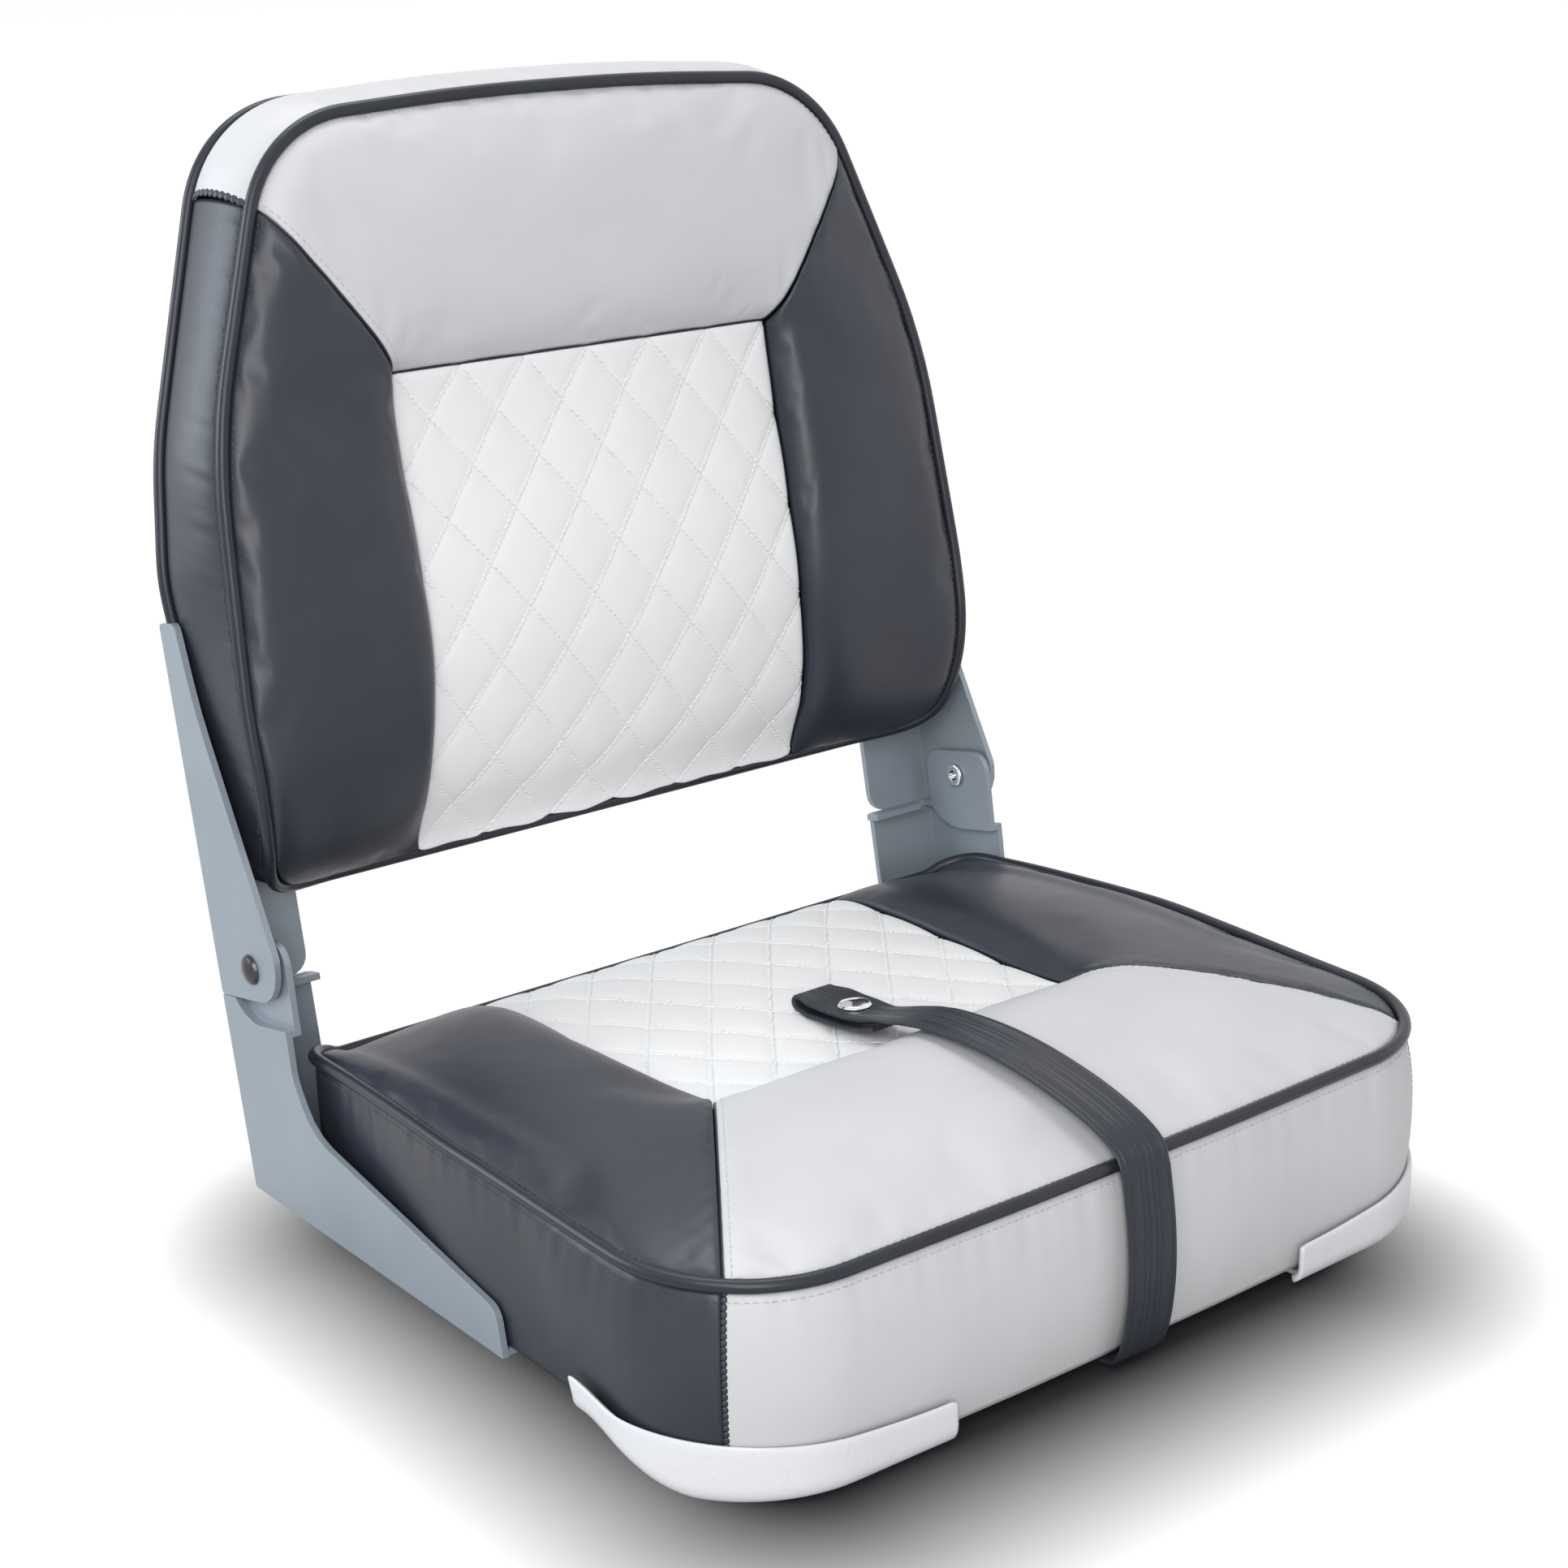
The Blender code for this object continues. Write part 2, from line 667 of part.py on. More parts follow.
def foam_block(name, patches, hub, floor, look, axis=None):
    """A block whose crowned face is the given patches, carried down to a flat floor (axis number, level)."""
    shape = bmesh.new()
    for rows in patches:
        patch = surface(name, rows, hub)
        shape.from_mesh(patch)
        bpy.data.meshes.remove(patch)
    bmesh.ops.remove_doubles(shape, verts=shape.verts, dist=GAP / 2)
    rim = [edge for edge in shape.edges if edge.is_boundary]
    skirt = bmesh.ops.extrude_edge_only(shape, edges=rim)["geom"]
    direction, level = floor
    for vert in skirt:
        if isinstance(vert, bmesh.types.BMVert):
            vert.co[direction] = level
    bmesh.ops.holes_fill(shape, edges=[edge for edge in shape.edges if edge.is_boundary])
    bmesh.ops.recalc_face_normals(shape, faces=shape.faces)
    mesh = bpy.data.meshes.new(name)
    shape.to_mesh(mesh)
    shape.free()
    return add(name, mesh, look, axis)


# Seat cushion

def seat_rim_z(x, y):
    """The height of the seat's piping, which sags behind the centre panel."""
    back = ease((y - DIP_START_Y) / (SEAT_REAR_Y - DIP_START_Y))
    middle = 1 - ease((abs(x) - DIP_FULL_X) / (DIP_END_X - DIP_FULL_X))
    return RIM_Z - REAR_DIP * back * middle


def seat_outline(side, inset=0):
    """Half of the seat's outline, from the middle of its rear to the middle of its front."""
    corners = [
        (0, SEAT_REAR_Y, 0),
        (SEAT_REAR_HALF, SEAT_REAR_Y, SEAT_REAR_CORNER),
        (SEAT_SIDE_HALF, SEAT_SIDE_Y, SEAT_SIDE_BOW),
        (SEAT_FRONT_HALF, SEAT_FRONT_Y, SEAT_FRONT_CORNER),
        (0, SEAT_FRONT_Y - SEAT_FRONT_BOW, 0),
    ]
    half = Route(rounded(corners, closed=False)).inset(-inset)
    half.points[0].x = half.points[-1].x = 0
    return Route([(side * point.x, point.y) for point in half.points])


def seat_marks(half):
    """Shares of a half outline: its rear corner, its front seam and the centre panel's rear."""
    corner_y = SEAT_REAR_Y - SEAT_REAR_CORNER / 2
    slope = (SEAT_FRONT_HALF - SEAT_FRONT_CORNER / 3 - CENTER_HALF)
    slope /= (CENTER_FRONT_Y - SEAT_FRONT_Y - SEAT_FRONT_CORNER / 3)
    inner = half.where(lambda point: abs(point.x) >= CENTER_HALF)
    corner = half.where(lambda point: point.y <= corner_y)
    seam = half.where(lambda point: CENTER_FRONT_Y - point.y > 0
                      and abs(point.x) - CENTER_HALF <= slope * (CENTER_FRONT_Y - point.y))
    return inner, corner, seam


def seat_patches(inset, seam, drop, quilted=True):
    """The crowned top of the seat as four grids: centre, front, left and right bolster."""
    columns = QUILT_COLUMNS if quilted else PANEL_COLUMNS
    halves = {side: seat_outline(side, inset) for side in (-1, 1)}
    inner, corner, front = seat_marks(halves[1])
    rear_y = halves[1].at(inner).y
    half = CENTER_HALF - seam
    center_front = CENTER_FRONT_Y + seam
    center = coons(Route([(-half, center_front), (half, center_front)]),
                   Route([(-half, rear_y), (half, rear_y)]),
                   Route([(-half, center_front), (-half, rear_y)]),
                   Route([(half, center_front), (half, rear_y)]), columns, SEAT_QUILT_ROWS)
    patches = {"center": [
        [Vector((point.x, point.y, blend(SEAM_FRONT_Z, seat_rim_z(point.x, rear_y) + EDGE_LIFT,
                                         row / SEAT_QUILT_ROWS)
                 + CENTER_CROWN * pillow(column / columns) * pillow(row / SEAT_QUILT_ROWS)
                 - quilt_sink(column, row, columns, SEAT_QUILT_ROWS, quilted) - drop))
         for column, point in enumerate(line)] for row, line in enumerate(center)]}

    corner_in = Vector((CENTER_HALF, CENTER_FRONT_Y))
    corner_out = halves[1].at(front)
    aside = (corner_out - corner_in).normalized()
    aside = Vector((-aside.y, aside.x)) * seam
    near, far = corner_in - Vector((0, seam)), corner_out
    left_seam = Route([(-near.x + aside.x, near.y - aside.y), (-far.x + aside.x, far.y - aside.y)])
    right_seam = Route([(near.x - aside.x, near.y - aside.y), (far.x - aside.x, far.y - aside.y)])
    edge = halves[-1].cut(front, 1, RING_ROWS * 2)
    edge += [Vector((-point.x, point.y)) for point in reversed(edge[:-1])]
    edge[0], edge[-1] = left_seam.at(1), right_seam.at(1)
    grid = coons(Route([left_seam.at(0), right_seam.at(0)]), Route(edge), left_seam, right_seam,
                 PANEL_COLUMNS, RING_ROWS)
    patches["front"] = [
        [Vector((point.x, point.y, blend(SEAM_FRONT_Z, RIM_Z + EDGE_LIFT, row / RING_ROWS) - drop
                 + SEAT_CROWN * pillow(row / RING_ROWS) * valley(column / PANEL_COLUMNS)))
         for column, point in enumerate(line)] for row, line in enumerate(grid)]

    for name, side in (("left", -1), ("right", 1)):
        inside = CENTER_HALF + seam
        outline = halves[side]
        slant = Route([(side * (inside + aside.x), corner_in.y + aside.y),
                       (side * (far.x + aside.x), far.y + aside.y)])
        seam_line = Route([(side * inside, rear_y), slant.at(0)])
        back = outline.cut(inner, corner, SMALL_STEPS)
        back[0] = seam_line.at(0)
        flank = outline.cut(corner, front, ROUND_STEPS)
        flank[-1] = slant.at(1)
        grid = coons(seam_line, Route(flank), Route(back), slant, SEAT_QUILT_ROWS, RING_ROWS)
        rows = []
        for row, line in enumerate(grid):
            across = row / RING_ROWS
            heights = []
            for column, point in enumerate(line):
                along = column / SEAT_QUILT_ROWS
                seam_z = blend(seat_rim_z(CENTER_HALF, rear_y) + EDGE_LIFT, SEAM_FRONT_Z, along)
                rim_z = seat_rim_z(outline.at(blend(corner, front, along)).x, point.y) + EDGE_LIFT
                z = blend(seam_z, rim_z, across) + SEAT_CROWN * pillow(across) * rise(along)
                if column == 0:
                    z = seat_rim_z(point.x, point.y) + EDGE_LIFT
                heights.append(Vector((point.x, point.y, z - drop)))
            rows.append(heights)
        patches[name] = rows
    return patches


def seat_foot_z(y):
    """The boxing's lower edge, which drops at the front lip."""
    share = (FOOT_DROP_START_Y - y) / (FOOT_DROP_START_Y - FOOT_DROP_END_Y)
    return blend(SIDE_FOOT_Z, FRONT_FOOT_Z, ease(share))


def outward(outline, share):
    """The flat direction away from the cushion at a share of its outline."""
    step = 1 / len(outline.points) ** 2
    along = outline.at(share + step) - outline.at(share - step)
    direction = Vector((along.y, -along.x)).normalized()
    return direction if direction.dot(outline.at(share)) > 0 else -direction


def boxing_offset(y, drop_share):
    """How far the boxing stands out of the outline, pressed flat behind the brackets."""
    free = ease((BULGE_START_Y - y) / (BULGE_START_Y - BULGE_FULL_Y))
    return BOXING_BULGE * free * pillow(drop_share) - BOXING_TUCK * drop_share ** 2


def seat_boxing(name, stations, look):
    """A strip of boxing through stations, each a place on the outline and its outward direction."""
    rows = []
    for step in range(BOXING_ROWS + 1):
        share = step / BOXING_ROWS
        line = []
        for place, direction in stations:
            top = seat_rim_z(place.x, place.y) - PIPE_RADIUS - GAP
            offset = boxing_offset(place.y, share)
            spot = place + direction * offset
            line.append(Vector((spot.x, spot.y, blend(top, seat_foot_z(place.y), share))))
        rows.append(line)
    mesh = surface(name, rows, Vector((0, 0, RIM_Z / 2)))
    return thicken(add(name, mesh, look), COVER)


def stations_along(outline, start, end, longest=LONG_STEP):
    """Places on an outline with the directions that lead away from the cushion."""
    return [(outline.at(share), outward(outline, share)) for share in outline.shares(start, end, longest)]


def build_seat_cushion():
    patches = seat_patches(PIPE_INSET, GAP / 2, 0)
    hub = Vector((0, 0, -RIM_Z))
    looks = {"center": WHITE_VINYL, "front": GREY_VINYL, "left": CHARCOAL_VINYL, "right": CHARCOAL_VINYL}
    names = {"center": "seat_center_panel", "front": "seat_front_panel",
             "left": "seat_bolster_left", "right": "seat_bolster_right"}
    for key, rows in patches.items():
        slant = quilt_slant if key == "center" else None
        thicken(add(names[key], surface(names[key], rows, hub, slant), looks[key]), COVER)

    right, left = seat_outline(1), seat_outline(-1)
    inner, corner, front = seat_marks(right)
    loop = right.corners(0, 1, SHORT_STEP) + left.corners(1, 0, SHORT_STEP)[1:-1]
    points = [(point.x, point.y, seat_rim_z(point.x, point.y)) for point in loop]
    piping("seat_piping", points, DARK_PIPING)

    slit = COVER / 2 / right.marks[-1]
    for name, outline in (("seat_boxing_right", right), ("seat_boxing_left", left)):
        seat_boxing(name, stations_along(outline, corner + slit, front - slit, SHORT_STEP), CHARCOAL_VINYL)
    across = stations_along(left, front + slit, 1) + stations_along(right, 1, front + slit)[1:]
    seat_boxing("seat_boxing_front", across, GREY_VINYL)
    across = stations_along(left, corner - slit, 0, SHORT_STEP)
    across += stations_along(right, 0, corner - slit, SHORT_STEP)[1:]
    seat_boxing("seat_boxing_rear", across, CHARCOAL_VINYL)

    block = seat_patches(FOAM_INSET, 0, FOAM_DROP, quilted=False)
    floor = PAN_RIM_Z + PAN_RIM + GAP
    foam = foam_block("seat_foam", block.values(), hub, (2, floor), FOAM)
    inside = TRAY_WALL + PLUG_CLEARANCE
    plug = plate("foam_plug", tray_outline(inside), TRAY_FLOOR + PLUG_LIFT, floor + CUT_OVERRUN, LEVEL)
    fuse(foam, cutter("foam_plug", plug))


# Seat pan and what fastens to it

def tray_outline(inset):
    half = TRAY_HALF - inset
    front, rear = TRAY_FRONT_Y + inset, TRAY_REAR_Y - inset
    corners = [(half, front), (half, rear), (-half, rear), (-half, front)]
    return rounded([(x, y, TRAY_CORNER - inset) for x, y in corners])


def mount_places(z):
    reach = MOUNT_SPACING / 2
    return [moved(x, y, z) for x in (-reach, reach) for y in (-reach, reach)]


def foot_screw_places(z):
    return [moved(side * FOOT_SCREW_X, y, z) for side in (-1, 1) for y in FOOT_SCREWS_Y]


def guard_screw_places(z):
    return [moved(side * x, y, z) for side in (-1, 1) for x, y in GUARD_SCREWS]


def build_pan():
    right, left = seat_outline(1, PAN_INSET), seat_outline(-1, PAN_INSET)
    outline = right.points + left.points[-2:0:-1]
    pan = add("seat_pan", plate("seat_pan", outline, PAN_RIM_Z, PAN_RIM_Z + PAN_RIM, LEVEL), PAN_PLASTIC)
    inside = PAN_RIM_Z + PAN_RIM / 2
    tray = plate("tray", tray_outline(0), 0, inside, LEVEL)
    boss = rod(CORNER_BOSS_RADIUS, 0, inside - CORNER_BOSS_Z)
    bosses = copies("bosses", boss, guard_screw_places(CORNER_BOSS_Z))
    boss_z = STRAP_LOWER_LINE[0][1] + STRAP / 2 + GAP
    strap_boss = rod(CORNER_BOSS_RADIUS, boss_z, inside)
    strap_boss.transform(moved(0, STRAP_SCREW_Y, 0))
    front = seat_marks(right)[-1]
    wall = left.corners(front, 1, 1) + right.corners(1, front, 1)[1:]
    inner_left, inner_right = (seat_outline(side, PAN_INSET + LIP_WALL) for side in (-1, 1))
    wall += inner_right.corners(front, 1, 1) + inner_left.corners(1, front, 1)[1:]
    lip = plate("front_lip", wall, FRONT_FOOT_Z, inside, LEVEL)
    fuse(pan, cutter("tray", tray), cutter("bosses", bosses), cutter("strap_boss", strap_boss),
         cutter("front_lip", lip))

    top = PAN_RIM_Z + PAN_RIM + CUT_OVERRUN
    hollow = plate("tray_hollow", tray_outline(TRAY_WALL), TRAY_FLOOR, top, LEVEL)
    mount_hole = rod(TEE_BARREL_RADIUS + GAP, 0, TRAY_FLOOR + 2 * CUT_OVERRUN)
    screw_hole = rod(SCREW_HOLE_RADIUS, 0, top)
    places = foot_screw_places(0) + guard_screw_places(0) + [moved(0, STRAP_SCREW_Y, 0)]
    cut(pan, cutter("tray_hollow", hollow),
        cutter("mount_holes", copies("mount_holes", mount_hole, mount_places(-CUT_OVERRUN))),
        cutter("pan_screw_holes", copies("pan_screw_holes", screw_hole, places)))


def screw_mesh(length):
    """A pan-head screw, its head's seat at zero and its shank upwards."""
    crown = SCREW_HEAD_RADIUS * 2 / 3
    profile = [(0, length), (SCREW_RADIUS * 2 / 3, length), (SCREW_RADIUS, length - SCREW_RADIUS),
               (SCREW_RADIUS, 0), (SCREW_HEAD_RADIUS, 0), (SCREW_HEAD_RADIUS, -SCREW_HEAD / 2),
               (crown, -SCREW_HEAD), (0, -SCREW_HEAD)]
    return turned("screw", profile, HOLE_STEPS)


def build_pan_hardware():
    top = TRAY_FLOOR + GAP + TEE_FLANGE
    nut = turned("tee_nut", [(TEE_BORE_RADIUS, top), (TEE_FLANGE_RADIUS, top),
                             (TEE_FLANGE_RADIUS, top - TEE_FLANGE), (TEE_BARREL_RADIUS, top - TEE_FLANGE),
                             (TEE_BARREL_RADIUS, GAP), (TEE_BORE_RADIUS, GAP), (TEE_BORE_RADIUS, top)])
    add_each("mounting_tee_nut", nut, mount_places(0), ZINC)
    reach = PAN_RIM_Z + PAN_RIM - GAP
    add_each("lower_bracket_screw", screw_mesh(reach - FOOT_Z + GAP), foot_screw_places(FOOT_Z - GAP), ZINC)


# Corner guards

def guard_top_z(place):
    """The upper edge of a guard: highest at its tip on the side, lowest at its inner end."""
    if place.y > SEAT_FRONT_Y + SEAT_FRONT_CORNER:
        share = (GUARD_TIP_Y - place.y) / (GUARD_TIP_Y - SEAT_FRONT_Y - SEAT_FRONT_CORNER)
        return blend(GUARD_TIP_TOP_Z, GUARD_CORNER_TOP_Z, ease(share))
    share = (SEAT_FRONT_HALF - abs(place.x)) / (SEAT_FRONT_HALF - GUARD_INNER_X)
    return blend(GUARD_CORNER_TOP_Z, GUARD_INNER_TOP_Z, ease(share))


def build_guard(name, side):
    """A white shell that wraps a front corner and turns in under the pan."""
    outline = seat_outline(side)
    start = outline.where(lambda point: point.y <= GUARD_TIP_Y)
    end = outline.where(lambda point: point.y < 0 and abs(point.x) <= GUARD_INNER_X)
    stations = stations_along(outline, start, end, SHORT_STEP)
    rows = [[] for level in range(6)]
    for place, direction in stations:
        drop = (GUARD_DROP_START_Y - place.y) / (GUARD_DROP_START_Y - FOOT_DROP_END_Y)
        foot = blend(GUARD_TIP_FOOT_Z, 0, ease(drop))
        stand = GUARD_STANDOFF + GUARD_WALL
        edge = GUARD_EDGE_RADIUS
        bend = edge * (1 - math.cos(math.pi / 4))
        profile = [(stand - GUARD_FLANGE, foot), (stand - edge, foot), (stand - bend, foot + bend),
                   (stand, foot + edge), (stand, blend(foot + edge, guard_top_z(place), 2 / 3)),
                   (stand, guard_top_z(place))]
        for row, (offset, z) in zip(rows, profile):
            spot = place + direction * offset
            row.append(Vector((spot.x, spot.y, z)))
    mesh = surface(name, rows, Vector((0, 0, RIM_Z)))
    guard = thicken(add(name, mesh, WHITE_PLASTIC), GUARD_WALL)
    cut(guard, guard_holes())
    return guard


def guard_holes():
    if "guard_holes" not in bpy.data.objects:
        hole = rod(SCREW_HOLE_RADIUS, 0, PAN_RIM_Z)
        mesh = copies("guard_holes", hole, guard_screw_places(-CUT_OVERRUN))
        cutter("guard_holes", mesh)
    return bpy.data.objects["guard_holes"]


def build_guard_screws():
    """Countersunk screws, flush with the guards' feet."""
    length = PAN_RIM_Z + PAN_RIM - GAP
    profile = [(0, length), (SCREW_RADIUS * 2 / 3, length), (SCREW_RADIUS, length - SCREW_RADIUS),
               (SCREW_RADIUS, GAP), (0, GAP)]
    sunk = turned("sunk_screw", profile, HOLE_STEPS)
    add_each("corner_guard_screw", sunk, guard_screw_places(0), ZINC)


# Brackets and the hinge between them

def leaning(v, u):
    """A place in the leaning frame of the hinge as a world depth and height."""
    return (PIVOT_Y + v * math.cos(LEAN) + u * math.sin(LEAN),
            PIVOT_Z - v * math.sin(LEAN) + u * math.cos(LEAN))


def rear_line_at(z):
    """The depth of the brackets' rear line at a height."""
    u = (z - PIVOT_Z + BRACKET_REAR_V * math.sin(LEAN)) / math.cos(LEAN)
    return leaning(BRACKET_REAR_V, u)[0]


def swing_recess(radius, far_v, far_u, rear):
    """A region round the hinge, from a level line at the rear down an arc and forwards to a far edge."""
    start = -math.acos(min(-rear[-1][1] / radius, 1))
    steps = 6
    arc = [(-radius * math.sin(start * (1 - step / steps)), -radius * math.cos(start * (1 - step / steps)))
           for step in range(steps + 1)]
    line = [(far_v, rear[0][1])] + rear + arc + [(-far_v, -radius), (-far_v, far_u), (far_v, far_u)]
    return [leaning(v, u) for v, u in line]


def lower_outline():
    return rounded([
        (rear_line_at(FOOT_Z), FOOT_Z, 0),
        (*leaning(BRACKET_REAR_V, LOWER_TOP_U), 0),
        (*leaning(BRACKET_REAR_V - SHEET, LOWER_TOP_U), 0),
        (*leaning(EAR_REAR_V, LOWER_TOP_U), 0),
        (*leaning(EAR_REAR_V, EAR_TOP_U), EAR_CORNER),
        (*leaning(EAR_FRONT_V, EAR_TOP_U), EAR_CORNER),
        (UPRIGHT_FRONT_Y, UPRIGHT_FOOT_Z, EDGE_CORNER * 5),
        (WING_ROOT_Y, WING_ROOT_Z, WING_ROOT_CORNER),
        (WING_TIP_Y, WING_TIP_Z, WING_TIP_CORNER),
        (WING_FRONT_Y, FOOT_Z, 0),
    ])


def across_x(side, inner, outer):
    return (inner, outer) if side > 0 else (-outer, -inner)


def side_plate(name, outline, side, inner, outer):
    low, high = across_x(side, inner, outer)
    return plate(name, outline, low, high, SIDEWAYS)


def build_lower_bracket(name, side):
    """The seat's bracket: a side plate with a wing, an ear pressed inwards, and flanges behind and below."""
    def tool(part, outline, inner, outer):
        return cutter(f"{name}_{part}", side_plate(f"{name}_{part}", outline, side, inner, outer))

    body = side_plate(name, lower_outline(), side, EAR_INNER_X, BRACKET_OUTER_X)
    bracket = add(name, body, COATED_STEEL)
    top, rear_v, front_v = LOWER_TOP_U, BRACKET_REAR_V, BRACKET_REAR_V - SHEET
    far = SWING_RADIUS * 4
    pocket = swing_recess(SWING_RADIUS, far, far, [(rear_v, top), (front_v, top), (EAR_REAR_V, top)])
    inside = swing_recess(SWING_RADIUS + SHEET, far * 2, -far * 2, [(far, top - SHEET)])
    cut(bracket, tool("pocket", pocket, EAR_OUTER_X, BRACKET_OUTER_X + CUT_OVERRUN),
        tool("inside", inside, EAR_INNER_X - CUT_OVERRUN, PLATE_INNER_X))

    rear_y, bend = rear_line_at(FOOT_Z), SHEET / 4
    flange = [(rear_y, FOOT_Z), leaning(rear_v, top), leaning(front_v, top), (rear_y - SHEET, FOOT_Z)]
    lip_top = top - GAP
    lip = [leaning(front_v - LIP_DEPTH, lip_top), leaning(front_v - LIP_DEPTH, lip_top - SHEET),
           leaning(rear_v - bend, lip_top - SHEET), leaning(rear_v - bend, lip_top)]
    foot = [(rear_y - bend, FOOT_Z), (rear_y - bend, FOOT_Z + SHEET),
            (WING_FRONT_Y + bend, FOOT_Z + SHEET), (WING_FRONT_Y + bend, FOOT_Z)]
    fuse(bracket, tool("flange", flange, FLANGE_INNER_X, BRACKET_OUTER_X - bend),
         tool("lip", lip, FLANGE_INNER_X - LIP_DEPTH / 3, LIP_OUTER_X),
         tool("foot", foot, FOOT_FLANGE_X, BRACKET_OUTER_X - 2 * bend))
    hole = rod(SCREW_HOLE_RADIUS, 0, FOOT_Z)
    holes = copies(name + "_screw_holes", hole, foot_screw_places(FOOT_Z / 2))
    cut(bracket, cutter(name + "_screw_holes", holes), pivot_bore())


def pivot_bore():
    """The bore for both hinge rivets, through every plate on the axis."""
    if "pivot_bore" not in bpy.data.objects:
        bore = rod(RIVET_RADIUS, -BRACKET_OUTER_X * 2, BRACKET_OUTER_X * 2, BORE_STEPS)
        sideways = Matrix.Rotation(-LEAN, 4, "X") @ Matrix.Rotation(math.pi / 2, 4, "Y")
        bore.transform(moved(0, PIVOT_Y, PIVOT_Z) @ sideways)
        cutter("pivot_bore", bore)
    return bpy.data.objects["pivot_bore"]


def upper_outline():
    """The upper plate, in the leaning frame."""
    return rounded([
        (BRACKET_REAR_V, UPPER_FOOT_U, EDGE_CORNER / 2),
        (BRACKET_REAR_V, UPPER_TOP_U, EDGE_CORNER / 2),
        (UPPER_TOP_V, UPPER_TOP_U, EDGE_CORNER),
        (UPPER_TAPER_V, UPPER_TAPER_U, BACK_WAIST_BOW / 2),
        (UPPER_NOSE_V, UPPER_NOSE_U, UPPER_FOOT_CORNER * 2 / 3),
        (UPPER_NOSE_V, UPPER_FOOT_U, UPPER_FOOT_CORNER),
    ])


def build_upper_bracket(name, side, axis):
    """The back's bracket: a tapered side plate and a flange behind the back."""
    body = side_plate(name, upper_outline(), side, PLATE_INNER_X, BRACKET_OUTER_X)
    bracket = add(name, body, COATED_STEEL, axis)
    flange_inner, flange_outer = across_x(side, FLANGE_INNER_X, BRACKET_OUTER_X - SHEET / 4)
    edge = FLANGE_INNER_X * side
    outer = flange_outer if side > 0 else flange_inner
    corners = [(edge, UPPER_FOOT_U, FLANGE_CORNER), (outer, UPPER_FOOT_U, 0), (outer, UPPER_TOP_U - GAP, 0),
               (edge, UPPER_TOP_U - GAP, FLANGE_CORNER)]
    flange = plate(name + "_flange", rounded(corners), BRACKET_REAR_V - SHEET, BRACKET_REAR_V, UPRIGHT)
    fuse(bracket, cutter(name + "_flange", flange, axis))
    cut(bracket, back_screw_holes(axis), pivot_bore())


def back_screw_places():
    behind = Matrix.Rotation(math.pi / 2, 4, "X")
    return [moved(side * BACK_SCREW_X, BRACKET_REAR_V + GAP, u) @ behind
            for side in (-1, 1) for u in BACK_SCREWS_U]


def back_screw_holes(axis):
    """Holes through the flanges, the rear cover and the board, and the one for the snap stud."""
    if "back_screw_holes" not in bpy.data.objects:
        hole = rod(SCREW_HOLE_RADIUS, -CUT_OVERRUN, BRACKET_REAR_V - BOARD_FRONT_V + CUT_OVERRUN)
        stud = moved(0, BRACKET_REAR_V, STUD_U) @ Matrix.Rotation(math.pi / 2, 4, "X")
        cutter("back_screw_holes", copies("back_screw_holes", hole, back_screw_places() + [stud]), axis)
    return bpy.data.objects["back_screw_holes"]


def build_hinge(side, name):
    """A hollow rivet: a domed head outside, a shank through both plates and a rolled end inside."""
    shank = RIVET_RADIUS - RIVET_PLAY
    head = BRACKET_OUTER_X + GAP
    tail = EAR_INNER_X - GAP
    dome = [(0, head + RIVET_HEAD_HEIGHT)]
    for step in (1, 2, 3):
        angle = math.pi / 2 * step / 3
        dome.append((RIVET_HEAD_RADIUS * math.sin(angle), head + RIVET_HEAD_HEIGHT * math.cos(angle)))
    flare = RIVET_FLARE_HEIGHT
    profile = dome + [(shank, head), (shank, tail), (RIVET_FLARE_RADIUS, tail - flare / 4),
                      (RIVET_FLARE_RADIUS, tail - flare * 3 / 4),
                      (RIVET_FLARE_RADIUS - flare / 2, tail - flare),
                      (RIVET_BORE_RADIUS, tail - flare), (RIVET_BORE_RADIUS, tail + RIVET_BORE_DEPTH),
                      (0, tail + RIVET_BORE_DEPTH)]
    rivet = turned(name, profile, BORE_STEPS)
    rivet.transform(Matrix.Rotation(-LEAN, 4, "X") @ Matrix.Rotation(side * math.pi / 2, 4, "Y"))
    rivet.transform(moved(0, PIVOT_Y, PIVOT_Z))
    add(name, rivet, DARK_STEEL)


def build_washers():
    low = EAR_OUTER_X + GAP
    high = low + WASHER_THICKNESS
    bore = RIVET_RADIUS + GAP
    ring = turned("washer", [(bore, high), (WASHER_RADIUS, high), (WASHER_RADIUS, low), (bore, low),
                             (bore, high)])
    places = [moved(0, PIVOT_Y, PIVOT_Z) @ Matrix.Rotation(side * math.pi / 2, 4, "Y") for side in (-1, 1)]
    add_each("pivot_washer", ring, places, NYLON)


# Back cushion

def back_outline(side, inset=0):
    """Half of the back's front outline on its unrolled face, from the top's middle to the hem's middle."""
    corners = [
        (0, BACK_TOP_U, 0),
        (BACK_SHOULDER_HALF, BACK_SHOULDER_U, BACK_SHOULDER_CORNER),
        (BACK_BEND_HALF, BACK_BEND_U, BACK_BEND_BOW),
        (BACK_WAIST_HALF, BACK_WAIST_U, BACK_WAIST_BOW),
        (BACK_HEM_HALF, HEM_P + inset * HEM_CROWDING, BACK_HEM_CORNER),
        (0, HEM_P + inset * HEM_CROWDING, 0),
    ]
    half = Route(rounded(corners, closed=False)).inset(-inset)
    half.points[0].x = half.points[-1].x = 0
    return Route([(side * point.x, point.y) for point in half.points])


